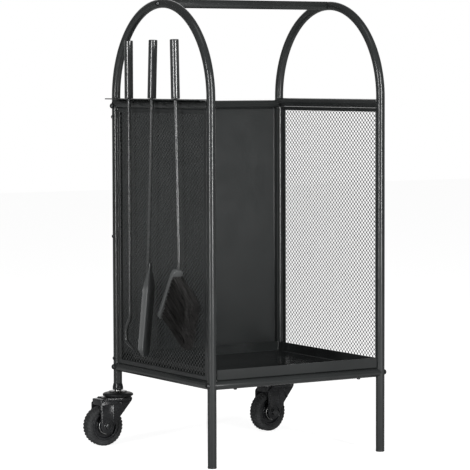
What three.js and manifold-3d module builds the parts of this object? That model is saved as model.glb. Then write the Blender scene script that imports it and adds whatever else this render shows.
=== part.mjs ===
// A fireside log cart: two hooped tube sides filled with mesh, a sheet back, a sheet log tray,
// a hanging set of poker, shovel and brush, and two braked swivel casters under the rear legs.
// Millimetres. +X is the cart's right, +Y its rear, +Z up, and the floor is at Z = 0.
import * as THREE from "three";
import { mergeVertices } from "three/addons/utils/BufferGeometryUtils.js";
import Module from "manifold-3d";

const wasm = await Module();
wasm.setup();

// ---------- driving dimensions ----------

const clearance = 0.3; // gap between two pieces that meet
const overshoot = 1; // how far a cutter runs past what it cuts

// Tube frame
const frameWidth = 360; // between the two hoops' centre lines
const frameDepth = 340; // between front and rear leg centre lines
const springHeight = 648; // where the legs end and the arches begin
const tubeRadius = 8;
const tubeWall = 1.5;
const tubeSides = 12;
const copeSides = 18;
const archSteps = 12;
const bottomRailHeight = 146;
const topRailDrop = 11; // side top rails below the spring line
const rearRailDrop = 15; // rear top rail below the spring line
const plugLength = 14; // solid ends of the bolted rails

// Fasteners
const boltRadius = 3;
const boltHeadRadius = 5;
const boltHeadHeight = 4;
const screwRadius = 1.8;
const screwHeadRadius = 3.2;
const screwHeadHeight = 2;
const fastenerSides = 8;
const holeSides = 6;
const screwReach = 3; // how far a screw passes the sheet it holds

// Side mesh panels
const panelInset = 3; // outer face outside the hoop's centre plane
const panelThickness = 1.2;
const panelSideGap = 2.5; // between a panel's side border and the leg
const panelSideBorder = 8;
const panelEndBorder = 7;
const meshColumns = 4;
const meshRows = 7;
const meshStrand = 5;
const tabHeight = 12;
const tabInset = 6; // end tabs from the panel's top and bottom edges
const tabGap = 0.8; // between a tab and its leg

// Back panel
const backThickness = 1.2;
const backFlange = 12;
const backSetback = 3; // web's front face behind the rear leg centre line
const backBottomGap = 2; // above the rear bottom rail
const backScrewInset = 12; // end screws from the top edge
const backScrewRise = 6; // lowest screws above the bottom edge

// Log tray
const traySideGap = 12; // tray sides inside the hoops' centre planes
const trayFrontReach = 3; // tray front ahead of the front rail's centre line
const trayRearGap = 9; // tray rear wall ahead of the rear leg centre line
const trayThickness = 1.2;
const trayWallHeight = 19;
const trayBend = 3;
const trayBendEase = 0.3; // share of the bend at which its middle ring lies
const traySupportReach = 6; // rear tongues past the rear rail's centre line
const traySupportWidth = 24;
const trayScrewInset = 36; // from the tray's sides

// Tool rack
const rackThickness = 2;
const rackLength = 310;
const rackReach = 32; // outer edge from the hoop's centre plane
const rackLap = 5; // inner edge past the hoop's centre plane
const toolReach = 21; // tool axis from the hoop's centre plane
const toolSpacing = 84;
const slotRadius = 4.2;
const slotSides = 16;

// Hearth tools
const handleRadius = 8;
const handleSides = 16;
const handleLength = 105;
const handleBore = 45;
const rodRadius = 3.5;
const rodSides = 10;
const rodInHandle = 42;
const bendSteps = 5;

// Poker
const pokerStraight = 396;
const pokerOffset = 15;
const pokerBend = 32;
const pokerTail = 18; // straight below the bend
const spikeLength = 42;
const spikeDrop = 16;
const spikeRadius = 3.4;
const spikePoint = 0.5;

// Shovel
const shovelLean = 1.75; // degrees, pan end outward
const shovelTurn = -39.5; // degrees about its own shaft
const shovelRodLength = 318;
const panLength = 168;
const panTop = 296; // below the rack
const panWidth = 76;
const panNeckWidth = 20;
const panShoulder = 48;
const panFlange = 8.5;
const panLip = 16;
const panThickness = 1.2;
const panTilt = 0.02; // rise of the pan's floor along its length
const panTipNarrowing = 0.75; // how far the tip's rounded end draws in, from 0 to 1
const panStations = 12;

// Brush
const brushLean = -1.9; // degrees, bristle end forward
const brushStraight = 278;
const brushOffset = 9;
const brushBend = 21;
const brushRodInHolder = 15;
const holderTop = 304; // below the rack
const holderRun = 56; // rearward
const holderFall = 84; // downward
const holderTopThickness = 12;
const holderEndThickness = 10;
const holderWidth = 23;
const holderChamfer = 3;
const bristleBacking = 2.5;
const bristleBackingInset = 2; // from the holder's ends
const bristleBackingMargin = 1; // from the holder's cheeks
const bristleInset = 3; // end rows from the backing's ends
const bristleMargin = 1.6; // outer strands from the backing's sides
const bristleStray = 0.3; // how far a strand stands off its row
const strayTurn = 2.4; // radians from one strand's stray to the next
const bristleRows = 30;
const bristleColumns = 10;
const bristleRadius = 0.95;
const bristleSpread = 1.2; // width at the tips over width at the backing
const bristleTopLength = 72;
const bristleEndLength = 98;
const bristleTopSlant = 9; // degrees off square at the top
const bristleEndSlant = 0; // degrees off square at the end

// Casters
const wheelRadius = 37.5;
const tyreDepth = 10.5;
const tyreWidth = 26;
const tyreShoulder = 4.5;
const tyreBead = 2.5;
const tyreSides = 28;
const hubWidth = 31;
const hubBossRadius = 14;
const hubWebWidth = 12;
const hubRimThickness = 4;
const hubRimInset = 3; // rim's edge inside the tyre's side
const hubSides = 16;
const axleRadius = 4;
const axleHeadRadius = 7;
const axleHeadHeight = 3.5;
const axleSides = 10;
const wheelTrail = 32.5;
const rightCasterTurn = 10; // degrees
const forkPlateThickness = 3;
const forkCrownThickness = 6;
const forkCrownRadius = 25;
const forkCrownSides = 16;
const forkFront = 20; // front edge of the side plates from the stem
const forkNotch = 3; // where the slanted front edge starts, behind the stem
const forkNotchRise = 20; // that start above the axle
const forkShoulder = 4; // rear corner's cut below the crown
const forkGap = 9; // crown above the tyre
const ribThickness = 2.5;
const ribWidth = 28;
const ribInset = 1; // the raised rib inside the plate's outline
const ribDrop = 6; // the rib's top below the crown
const ribSides = 12;
const swivelGap = 0.5;
const swivelPlateRadius = 28.5;
const swivelPlateHeight = 7;
const swivelPlateRound = 2.5;
const swivelPlateEdge = 1;
const swivelPlateSides = 16;
const stemRadius = 5;
const stemSides = 10;
const stemCollarRadius = 6;
const stemCollarHeight = 5;
const washerRadius = 17;
const washerThickness = 1.4;
const washerShare = 0.4; // the washer's height up the collar, from 0 to 1
const socketWall = 1.5;
const socketDepth = 10;
const socketPlug = 22;
const socketEdge = 0.8;
const socketSides = 12;
const pedalWidth = 28;
const pedalPinTrail = 12; // pin behind the stem
const pedalPinDrop = 5; // pin below the crown
const pedalPinRadius = 2.5;
const pedalPinSides = 8;
const pedalReach = 31; // from the pin to the pedal's end
const pedalNose = 4; // ahead of the pin
const pedalEndDrop = 5; // the end's underside below the pin
const pedalTabLength = 9.5;
const pedalArmDrop = 1; // arm's top below the crown's underside
const pedalEdge = 1.5; // chamfer along the tab's top
const pedalTabRise = 2; // tab's top above the crown's underside
const brakeGap = 3.4; // pedal above the tyre when it is off
const tyreSpaceSides = 24;

// Front feet
const footHeight = 3;
const footPlug = 15;
const footEdge = 0.6;

// ---------- derived places ----------

const hoopX = frameWidth / 2;
const legY = frameDepth / 2;
const archRadius = frameDepth / 2;
const archTop = springHeight + archRadius;
const sideRailHeight = springHeight - topRailDrop;
const rearRailHeight = springHeight - rearRailDrop;
const tubeBore = tubeRadius - tubeWall;
const boltHole = (boltRadius + clearance) / Math.cos(Math.PI / holeSides);
const screwHole = (screwRadius + clearance) / Math.cos(Math.PI / holeSides);
const railTopZ = bottomRailHeight + tubeRadius;
const wheelTop = 2 * wheelRadius;
const crownBottom = wheelTop + forkGap;
const crownTop = crownBottom + forkCrownThickness;
const swivelBottom = crownTop + swivelGap;
const swivelTop = swivelBottom + swivelPlateHeight;
const socketBottom = swivelTop + clearance + stemCollarHeight;
const rearLegBottom = socketBottom + socketWall + clearance;
const frontLegBottom = footHeight + clearance;
const rackTop = sideRailHeight + tubeRadius + clearance + rackThickness;
const backBottom = railTopZ + backBottomGap;
const backTop = rearRailHeight - tubeRadius - clearance;
const backScrewHeights = [
  backBottom + backScrewRise,
  (backBottom + backTop) / 2,
  backTop - backScrewInset,
];
const trayFloorZ = railTopZ + clearance;
const trayFront = -legY - trayFrontReach;
const trayRear = legY - trayRearGap;
const trayHalf = hoopX - traySideGap;
const trayScrewSide = trayHalf - trayScrewInset; // tray screws on either side of the middle
const radians = THREE.MathUtils.degToRad;

// ---------- materials ----------

function material(color, roughness, metalness) {
  return new THREE.MeshStandardMaterial({ color, roughness, metalness });
}
const powderCoat = material(0x2b2d2d, 0.42, 0.3);
const sheetCoat = material(0x3c3e3e, 0.5, 0.3);
const meshCoat = material(0x232525, 0.55, 0.3);
const toolCoat = material(0x303232, 0.4, 0.35);
const endCap = material(0x151616, 0.7, 0);
const blackenedSteel = material(0x3a3b3c, 0.35, 0.8);
const casterPlastic = material(0x1d1e1f, 0.5, 0);
const casterSteel = material(0x242526, 0.4, 0.6);
const brightSteel = material(0xa0a2a4, 0.3, 1);
const tyreRubber = material(0x191a1a, 0.85, 0);
const bristleFibre = material(0x121212, 0.9, 0);

// ---------- geometry helpers ----------

// Skins a row of closed rings, each with the same number of points. Open rows get two flat ends;
// a looped row joins its last ring to its first.
function loft(rings, looped = false) {
  const count = rings[0].length;
  const positions = rings.flat().flatMap((p) => [p.x, p.y, p.z]);
  const indices = [];
  const last = looped ? rings.length : rings.length - 1;
  for (let r = 0; r < last; r++) {
    const here = r * count;
    const next = ((r + 1) % rings.length) * count;
    for (let i = 0; i < count; i++) {
      const j = (i + 1) % count;
      indices.push(here + i, here + j, next + j, here + i, next + j, next + i);
    }
  }
  if (!looped) {
    for (const [a, b, c] of flatEnd(rings[0])) indices.push(a, c, b);
    const start = (rings.length - 1) * count;
    for (const [a, b, c] of flatEnd(rings.at(-1))) indices.push(start + a, start + b, start + c);
  }
  return facingOut(positions, indices);
}

// Triangles across a flat ring, in the ring's own direction.
function flatEnd(ring) {
  const normal = new THREE.Vector3();
  ring.forEach((p, i) => normal.add(new THREE.Vector3().crossVectors(p, ring[(i + 1) % ring.length])));
  normal.normalize();
  const across = new THREE.Vector3().subVectors(ring[1], ring[0]).normalize();
  const up = new THREE.Vector3().crossVectors(normal, across);
  const flat = ring.map((p) => new THREE.Vector2(p.dot(across), p.dot(up)));
  return THREE.ShapeUtils.triangulateShape(flat, []);
}

// A geometry whose faces are turned so that its volume is positive.
function facingOut(positions, indices) {
  const corner = (i) => new THREE.Vector3().fromArray(positions, 3 * indices[i]);
  let volume = 0;
  for (let i = 0; i < indices.length; i += 3) {
    volume += corner(i).dot(corner(i + 1).cross(corner(i + 2)));
  }
  if (volume < 0) indices.reverse();
  const geometry = new THREE.BufferGeometry();
  geometry.setAttribute("position", new THREE.Float32BufferAttribute(positions, 3));
  geometry.setIndex(indices);
  return geometry;
}

// Rings of one radius along a flat path. "side" is the direction square to the path's plane.
function ringsAlong(path, radius, sides, side) {
  return path.map((point, i) => {
    const before = path[Math.max(i - 1, 0)];
    const after = path[Math.min(i + 1, path.length - 1)];
    const along = new THREE.Vector3().subVectors(after, before).normalize();
    const out = new THREE.Vector3().crossVectors(along, side);
    return Array.from({ length: sides }, (_, k) => {
      const turn = (2 * Math.PI * k) / sides;
      return point
        .clone()
        .addScaledVector(side, radius * Math.cos(turn))
        .addScaledVector(out, radius * Math.sin(turn));
    });
  });
}

const rodAlong = (path, radius, sides, side) => loft(ringsAlong(path, radius, sides, side));

// A tube with a bore, open at both ends.
function pipeAlong(path, outer, bore, sides, side) {
  const outside = ringsAlong(path, outer, sides, side);
  const inside = ringsAlong(path, bore, sides, side);
  return loft([...outside, ...inside.reverse()], true);
}

// A straight round bar between two points, tapered if the radii differ.
function bar(from, to, radius, sides, endRadius = radius) {
  const span = new THREE.Vector3().subVectors(to, from);
  const geometry = new THREE.CylinderGeometry(endRadius, radius, span.length(), sides);
  const turn = new THREE.Quaternion().setFromUnitVectors(new THREE.Vector3(0, 1, 0), span.normalize());
  geometry.applyQuaternion(turn);
  const middle = new THREE.Vector3().addVectors(from, to).multiplyScalar(0.5);
  return geometry.translate(middle.x, middle.y, middle.z);
}

const at = (x, y, z) => new THREE.Vector3(x, y, z);
const barX = (x0, x1, y, z, radius, sides) => bar(at(x0, y, z), at(x1, y, z), radius, sides);
const barY = (y0, y1, x, z, radius, sides) => bar(at(x, y0, z), at(x, y1, z), radius, sides);
const barZ = (z0, z1, x, y, radius, sides) => bar(at(x, y, z0), at(x, y, z1), radius, sides);

function block(x0, x1, y0, y1, z0, z1) {
  const geometry = new THREE.BoxGeometry(x1 - x0, y1 - y0, z1 - z0);
  return geometry.translate((x0 + x1) / 2, (y0 + y1) / 2, (z0 + z1) / 2);
}

// A solid of revolution about Z from [radius, height] pairs that close on the axis or on themselves.
function turned(profile, segments) {
  const points = profile.map(([r, z]) => new THREE.Vector2(r, z));
  const ring = new THREE.LatheGeometry(points, segments);
  return ring.rotateX(Math.PI / 2);
}

// An outline in X and Z, given thickness along Y from y0 to y1.
function plateXZ(shape, y0, y1, curveSegments = 8) {
  const options = { depth: y1 - y0, bevelEnabled: false, curveSegments };
  const plate = new THREE.ExtrudeGeometry(shape, options);
  return plate.rotateX(Math.PI / 2).translate(0, y1, 0);
}

function solid(geometry) {
  if (!geometry.isBufferGeometry) return geometry;
  const bare = geometry.clone();
  for (const name of Object.keys(bare.attributes)) {
    if (name !== "position") bare.deleteAttribute(name);
  }
  const merged = mergeVertices(bare, 1e-4);
  const made = new wasm.Manifold(
    new wasm.Mesh({
      numProp: 3,
      vertProperties: merged.attributes.position.array,
      triVerts: new Uint32Array(merged.index.array),
    }),
  );
  if (made.volume() > 0) return made;
  const turnedRound = new Uint32Array(merged.index.array).reverse();
  return new wasm.Manifold(
    new wasm.Mesh({ numProp: 3, vertProperties: merged.attributes.position.array, triVerts: turnedRound }),
  );
}

function geometryOf(made) {
  const mesh = made.getMesh();
  const geometry = new THREE.BufferGeometry();
  geometry.setAttribute("position", new THREE.BufferAttribute(mesh.vertProperties, 3));
  geometry.setIndex(new THREE.BufferAttribute(mesh.triVerts, 1));
  return geometry;
}

const join = (...pieces) => geometryOf(pieces.map(solid).reduce((whole, next) => whole.add(next)));
const cut = (piece, ...tools) =>
  geometryOf(tools.map(solid).reduce((rest, tool) => rest.subtract(tool), solid(piece)));

const cart = new THREE.Group();

function place(name, geometry, look, parent = cart) {
  const mesh = new THREE.Mesh(geometry, look);
  mesh.name = name;
  parent.add(mesh);
  return mesh;
}

const sides = [
  { name: "left", sign: -1 },
  { name: "right", sign: 1 },
];

// ---------- tube frame ----------

// Where the cross rails are bolted to either hoop, as [y, z].
const hoopBolts = {
  rear_top: [legY, rearRailHeight],
  rear_bottom: [legY, bottomRailHeight],
  front_bottom: [-legY, bottomRailHeight],
};

// Centre line of a hoop's arch, from its front spring to its rear one.
function archPath(x) {
  return Array.from({ length: archSteps + 1 }, (_, i) => {
    const turn = Math.PI * (1 - i / archSteps);
    return at(x, archRadius * Math.cos(turn), springHeight + archRadius * Math.sin(turn));
  });
}

function hoop(sign) {
  const x = sign * hoopX;
  const path = [at(x, -legY, frontLegBottom), ...archPath(x), at(x, legY, rearLegBottom)];
  const pipe = pipeAlong(path, tubeRadius, tubeBore, tubeSides, at(1, 0, 0));
  const across = (y, z, radius) => barX(x - 2 * tubeRadius, x + 2 * tubeRadius, y, z, radius, holeSides);
  const boltHoles = Object.values(hoopBolts).map(([y, z]) => across(y, z, boltHole));
  const screwHoles = backScrewHeights.map((z) => across(legY, z, screwHole));
  return cut(pipe, ...boltHoles, ...screwHoles, across(0, archTop, boltHole));
}

// The space a leg needs where a rail meets it.
const legSpace = (x, y) => barZ(0, springHeight, x, y, tubeRadius + clearance, copeSides);

// The space a cross rail needs where a side rail meets it in the corner inside a leg.
const crossRailSpace = ([y, z]) =>
  barX(-hoopX + clearance, hoopX - clearance, y, z, tubeRadius + clearance, copeSides);
const boltSpace = ([y, z]) => barX(-frameWidth, frameWidth, y, z, boltHole, holeSides);

function sideRail(sign, z) {
  const x = sign * hoopX;
  const pipe = pipeAlong([at(x, -legY, z), at(x, legY, z)], tubeRadius, tubeBore, tubeSides, at(1, 0, 0));
  const bolts = Object.values(hoopBolts);
  const corners = [...bolts.map(crossRailSpace), ...bolts.map(boltSpace)];
  return cut(pipe, legSpace(x, -legY), legSpace(x, legY), ...corners);
}

// A rail across the cart: bored between two solid ends, each drilled for its bolt.
function crossRail(y, z, ...ends) {
  const outside = barX(-hoopX, hoopX, y, z, tubeRadius, tubeSides);
  const boreEnd = hoopX - tubeRadius - plugLength;
  const bore = barX(-boreEnd, boreEnd, y, z, tubeBore, tubeSides);
  const drilling = barX(-hoopX, hoopX, y, z, boltHole, holeSides);
  return cut(outside, bore, drilling, ...ends);
}

const trayScrewHole = (x, y) => barZ(0, springHeight, x, y, screwHole, holeSides);
const trayScrewX = [-trayScrewSide, trayScrewSide];

// A dome-headed bolt or screw along +X, its head's seat at x = 0.
function domeFastener(shank, length, headRadius, headHeight) {
  const profile = [
    [0, headHeight],
    [0.55 * headRadius, 0.85 * headHeight],
    [headRadius, 0.2 * headHeight],
    [headRadius, 0],
    [shank, 0],
    [shank, -length],
    [0, -length],
  ];
  return turned(profile.reverse(), fastenerSides);
}

const boltLength = 2 * tubeRadius + plugLength;
const bolt = () => domeFastener(boltRadius, boltLength, boltHeadRadius, boltHeadHeight);

function placeAcross(name, geometry, sign, y, z) {
  const piece = place(name, geometry, blackenedSteel);
  piece.position.set(sign * (hoopX + tubeRadius + clearance), y, z);
  piece.rotation.y = (sign * Math.PI) / 2;
}

for (const { name, sign } of sides) {
  place(`${name}_hoop`, hoop(sign), powderCoat);
  place(`${name}_top_rail`, sideRail(sign, sideRailHeight), powderCoat);
  place(`${name}_bottom_rail`, sideRail(sign, bottomRailHeight), powderCoat);
  for (const [where, [y, z]] of Object.entries(hoopBolts)) {
    placeAcross(`${name}_${where}_bolt`, bolt(), sign, y, z);
  }
  placeAcross(`${name}_handle_bolt`, bolt(), sign, 0, archTop);
}

const rearEnds = [legSpace(-hoopX, legY), legSpace(hoopX, legY)];
const frontEnds = [legSpace(-hoopX, -legY), legSpace(hoopX, -legY)];
const rearScrewHoles = trayScrewX.map((x) => trayScrewHole(x, legY));
const frontScrewHoles = trayScrewX.map((x) => trayScrewHole(x, -legY));
place("rear_top_rail", crossRail(legY, rearRailHeight, ...rearEnds), powderCoat);
place("rear_bottom_rail", crossRail(legY, bottomRailHeight, ...rearEnds, ...rearScrewHoles), powderCoat);
place("front_bottom_rail", crossRail(-legY, bottomRailHeight, ...frontEnds, ...frontScrewHoles), powderCoat);

// The push handle runs between the tops of the arches.
const archSpace = sides.map(({ sign }) =>
  rodAlong(archPath(sign * hoopX), tubeRadius + clearance, copeSides, at(1, 0, 0)),
);
place("handle_bar", crossRail(0, archTop, ...archSpace), powderCoat);

function frontFoot() {
  const radius = tubeRadius;
  const plug = tubeBore - clearance;
  const profile = [
    [0, 0],
    [radius - footEdge, 0],
    [radius, footEdge],
    [radius, footHeight],
    [plug, footHeight],
    [plug, footHeight + footPlug],
    [0, footHeight + footPlug],
  ];
  return turned(profile, tubeSides);
}
for (const { name, sign } of sides) {
  place(`${name}_front_foot`, frontFoot(), endCap).position.set(sign * hoopX, -legY, 0);
}

// ---------- side mesh panels ----------

// Where a plane "offset" outside the tube's centre line leaves the round tube.
const chord = (offset) => Math.sqrt(tubeRadius ** 2 - offset ** 2);

// The panel's outline in (y, z): a frame with tabs that reach the legs, and a diamond net inside.
function meshPanel() {
  const half = legY - tubeRadius - panelSideGap;
  const low = bottomRailHeight + tubeRadius + clearance;
  const high = sideRailHeight - tubeRadius - clearance;
  const tabEnd = legY - chord(panelInset - panelThickness) - tabGap;
  const outline = new THREE.Shape();
  const middle = (low + high) / 2;
  const tabs = [low + tabInset, middle - tabHeight / 2, high - tabInset - tabHeight];
  outline.moveTo(-half, low);
  outline.lineTo(half, low);
  for (const z of tabs) {
    outline.lineTo(half, z);
    outline.lineTo(tabEnd, z);
    outline.lineTo(tabEnd, z + tabHeight);
    outline.lineTo(half, z + tabHeight);
  }
  outline.lineTo(half, high);
  outline.lineTo(-half, high);
  for (const z of tabs.toReversed()) {
    outline.lineTo(-half, z + tabHeight);
    outline.lineTo(-tabEnd, z + tabHeight);
    outline.lineTo(-tabEnd, z);
    outline.lineTo(-half, z);
  }
  const net = {
    y0: -half + panelSideBorder,
    y1: half - panelSideBorder,
    z0: low + panelEndBorder,
    z1: high - panelEndBorder,
  };
  const sheet = new THREE.ExtrudeGeometry(outline, { depth: panelThickness, bevelEnabled: false });
  const through = { depth: 3 * panelThickness, bevelEnabled: false };
  const gaps = netGaps(net).map((corners) =>
    new THREE.ExtrudeGeometry(new THREE.Shape(corners), through).translate(0, 0, -panelThickness),
  );
  return cut(sheet, ...gaps);
}

// The net's gaps: whole diamonds on two staggered grids, and half diamonds along the frame.
function netGaps({ y0, y1, z0, z1 }) {
  const stepY = (y1 - y0) / meshColumns;
  const stepZ = (z1 - z0) / meshRows;
  const across = stepY / 2 - (meshStrand / 2) * Math.hypot(1, stepY / stepZ);
  const up = stepZ / 2 - (meshStrand / 2) * Math.hypot(1, stepZ / stepY);
  const gaps = [];
  for (let column = 0; column <= 2 * meshColumns; column++) {
    for (let row = 0; row <= 2 * meshRows; row++) {
      if ((column + row) % 2) continue;
      const y = y0 + (column * stepY) / 2;
      const z = z0 + (row * stepZ) / 2;
      const right = column < 2 * meshColumns ? across : 0;
      const left = column > 0 ? across : 0;
      const over = row < 2 * meshRows ? up : 0;
      const under = row > 0 ? up : 0;
      if ((!right || !left) && (!over || !under)) continue;
      const corners = [
        [y + right, z],
        [y, z + over],
        [y - left, z],
        [y, z - under],
      ];
      const kept = corners.filter(([cy, cz]) => cy !== y || cz !== z);
      gaps.push(kept.map(([cy, cz]) => new THREE.Vector2(cy, cz)));
    }
  }
  return gaps;
}

for (const { name, sign } of sides) {
  const panel = place(`${name}_mesh_panel`, meshPanel(), meshCoat);
  panel.rotation.set(Math.PI / 2, Math.PI / 2, 0);
  panel.position.x = sign * panelInset + sign * hoopX + (sign < 0 ? 0 : -panelThickness);
}

// ---------- back panel ----------

function backPanel() {
  const half = hoopX - tubeRadius - clearance;
  const webFront = legY + backSetback;
  const webBack = webFront + backThickness;
  const front = webBack - backFlange;
  const shape = new THREE.Shape();
  const bend = 2 * backThickness;
  shape.moveTo(-half, front);
  shape.lineTo(-half + backThickness, front);
  shape.lineTo(-half + backThickness, webFront - backThickness);
  shape.lineTo(-half + bend, webFront);
  shape.lineTo(half - bend, webFront);
  shape.lineTo(half - backThickness, webFront - backThickness);
  shape.lineTo(half - backThickness, front);
  shape.lineTo(half, front);
  shape.lineTo(half, webBack - bend);
  shape.lineTo(half - bend, webBack);
  shape.lineTo(-half + bend, webBack);
  shape.lineTo(-half, webBack - bend);
  const sheet = new THREE.ExtrudeGeometry(shape, { depth: backTop - backBottom, bevelEnabled: false });
  sheet.translate(0, 0, backBottom);
  const holes = backScrewHeights.map((z) => barX(-hoopX, hoopX, legY, z, screwHole, holeSides));
  return cut(sheet, ...holes);
}
place("back_panel", backPanel(), sheetCoat);

const backScrewLength = 2 * tubeRadius + clearance + backThickness + screwReach;
for (const { name, sign } of sides) {
  backScrewHeights.forEach((z, i) => {
    const screw = domeFastener(screwRadius, backScrewLength, screwHeadRadius, screwHeadHeight);
    placeAcross(`${name}_back_screw_${i + 1}`, screw, sign, legY, z);
  });
}

// ---------- log tray ----------

// Four corners of the tray at one height, drawn in by an inset.
function trayRing(inset, z) {
  const x = trayHalf - inset;
  const front = trayFront + inset;
  const rear = trayRear - inset;
  return [at(-x, front, z), at(x, front, z), at(x, rear, z), at(-x, rear, z)];
}

function logTray() {
  const low = trayFloorZ;
  const high = trayFloorZ + trayWallHeight;
  const inner = trayBend - trayThickness;
  const ease = trayBendEase;
  const shell = loft([
    trayRing(trayBend, low),
    trayRing(ease * trayBend, low + ease * trayBend),
    trayRing(0, low + trayBend),
    trayRing(0, high),
    trayRing(trayThickness, high),
    trayRing(trayThickness, low + trayBend),
    trayRing(trayThickness + ease * inner, low + trayThickness + ease * inner),
    trayRing(trayBend, low + trayThickness),
  ]);
  const tongues = trayScrewX.map((x) => {
    const half = traySupportWidth / 2;
    const rear = legY + traySupportReach;
    return block(x - half, x + half, trayRear - 2 * trayBend, rear, low, low + trayThickness);
  });
  const holes = trayScrewX.flatMap((x) => [trayScrewHole(x, legY), trayScrewHole(x, -legY)]);
  return cut(join(shell, ...tongues), ...holes);
}
place("log_tray", logTray(), sheetCoat);

// Screws go up through the rails into the tray.
const trayScrewLength = 2 * tubeRadius + 2 * clearance + trayThickness;
for (const [row, y] of [["front", -legY], ["rear", legY]]) {
  for (const { name, sign } of sides) {
    const screw = domeFastener(screwRadius, trayScrewLength, screwHeadRadius, screwHeadHeight);
    const piece = place(`${row}_${name}_tray_screw`, screw, blackenedSteel);
    piece.position.set(sign * trayScrewSide, y, bottomRailHeight - tubeRadius - clearance);
    piece.rotation.x = Math.PI;
  }
}

// ---------- tool rack ----------

const toolX = -hoopX - toolReach;
const toolY = { poker: toolSpacing, shovel: 0, brush: -toolSpacing };

function toolRack() {
  const outer = -hoopX - rackReach;
  const inner = -hoopX + rackLap;
  const low = rackTop - rackThickness;
  const plate = block(outer, inner, -rackLength / 2, rackLength / 2, low, rackTop);
  const notches = Object.values(toolY).flatMap((y) => [
    barZ(low - overshoot, rackTop + overshoot, toolX, y, slotRadius, slotSides),
    block(outer - overshoot, toolX, y - slotRadius, y + slotRadius, low - overshoot, rackTop + overshoot),
  ]);
  return cut(plate, ...notches);
}
place("tool_rack", toolRack(), powderCoat);

// ---------- hearth tools ----------

// A tool's frame: origin where its shaft leaves the handle, Z up the shaft, tilted as it hangs.
function hangingTool(y, leanForward, leanOut, turn) {
  const group = new THREE.Group();
  const lift = handleRadius * Math.sin(radians(Math.abs(leanForward) + Math.abs(leanOut)));
  group.position.set(toolX, y, rackTop + clearance + lift);
  group.rotation.set(radians(leanForward), radians(leanOut), radians(turn));
  cart.add(group);
  return group;
}

function handle() {
  const grip = bar(at(0, 0, 0), at(0, 0, handleLength), handleRadius, handleSides);
  const bore = bar(at(0, 0, -overshoot), at(0, 0, handleBore), rodRadius + clearance, rodSides);
  return cut(grip, bore);
}

// Points of an S-bend in the YZ plane that moves "offset" rearward over a fall of "fall".
function sBend(top, offset, fall) {
  return Array.from({ length: bendSteps + 1 }, (_, i) => {
    const share = i / bendSteps;
    return at(0, offset * (0.5 - 0.5 * Math.cos(Math.PI * share)), top - fall * share);
  });
}

function pokerRod() {
  const bend = sBend(-pokerStraight, pokerOffset, pokerBend);
  const end = at(0, pokerOffset, -pokerStraight - pokerBend - pokerTail);
  const shaft = rodAlong([at(0, 0, rodInHandle), ...bend, end], rodRadius, rodSides, at(1, 0, 0));
  const root = at(0, pokerOffset + rodRadius / 2, end.z + spikeRadius);
  const tip = at(0, root.y - Math.sqrt(spikeLength ** 2 - spikeDrop ** 2), root.z - spikeDrop);
  return join(shaft, bar(root, tip, spikeRadius, rodSides, spikePoint));
}

const poker = hangingTool(toolY.poker, 0, 0, 0);
place("poker_handle", handle(), toolCoat, poker);
place("poker_rod", pokerRod(), toolCoat, poker);

// The pan: a sheet with turned-up sides. Local +X is the floor's back, Z runs up the shaft.
function shovelPan() {
  const rings = Array.from({ length: panStations + 1 }, (_, i) => panSection((panLength * i) / panStations));
  return loft(rings);
}

function panSection(down) {
  const shoulder = THREE.MathUtils.smoothstep(down, 0, panShoulder);
  const tipShare = THREE.MathUtils.clamp((down - (panLength - panLip)) / panLip, 0, 1);
  const tip = Math.sqrt(1 - panTipNarrowing * tipShare ** 2);
  const half = (THREE.MathUtils.lerp(panNeckWidth, panWidth, shoulder) / 2) * tip;
  const t = panThickness;
  const flange = panFlange * shoulder * (1 - tipShare) + 1.5 * t;
  const floor = rodRadius + clearance + t - panTilt * Math.max(0, down - panShoulder);
  const section = [
    [floor - flange, -half],
    [floor, -half + t / 2],
    [floor, half - t / 2],
    [floor - flange, half],
    [floor - flange, half - t],
    [floor - t, half - 1.5 * t],
    [floor - t, -half + 1.5 * t],
    [floor - flange, -half + t],
  ];
  return section.map(([x, y]) => at(x, y, -panTop - down));
}

const shovel = hangingTool(toolY.shovel, 0, shovelLean, shovelTurn);
place("shovel_handle", handle(), toolCoat, shovel);
place(
  "shovel_rod",
  rodAlong([at(0, 0, rodInHandle), at(0, 0, -shovelRodLength)], rodRadius, rodSides, at(1, 0, 0)),
  toolCoat,
  shovel,
);
place("shovel_pan", shovelPan(), toolCoat, shovel);

// The brush holder's back line runs down and rearward; "along" is its direction and "out" the
// direction square to it, towards the bristles.
const holderStart = at(0, brushOffset, -holderTop);
const holderAlong = at(0, holderRun, -holderFall).normalize();
const holderOut = at(0, holderAlong.z, -holderAlong.y);
const holderLength = Math.hypot(holderRun, holderFall);

const onHolder = (along, out, x = 0) =>
  holderStart.clone().addScaledVector(holderAlong, along).addScaledVector(holderOut, out).setX(x);

const holderDepth = (along) =>
  THREE.MathUtils.lerp(holderTopThickness, holderEndThickness, along / holderLength);

function brushHolder() {
  const half = holderWidth / 2;
  const ring = (x, inset) => [
    onHolder(inset, inset, x),
    onHolder(holderLength - inset, inset, x),
    onHolder(holderLength - inset, holderDepth(holderLength), x),
    onHolder(inset, holderDepth(0), x),
  ];
  const body = loft([
    ring(-half, holderChamfer),
    ring(-half + holderChamfer, 0),
    ring(half - holderChamfer, 0),
    ring(half, holderChamfer),
  ]);
  const socket = bar(brushRodEnd(clearance), brushRodEntry(), rodRadius + clearance, rodSides);
  return cut(body, socket);
}

// The brush rod's last stretch, square to the holder's top end.
const brushRodEntry = () => onHolder(-brushRodInHolder, holderTopThickness / 2);
const brushRodEnd = (beyond) => onHolder(brushRodInHolder + beyond, holderTopThickness / 2);

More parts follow.
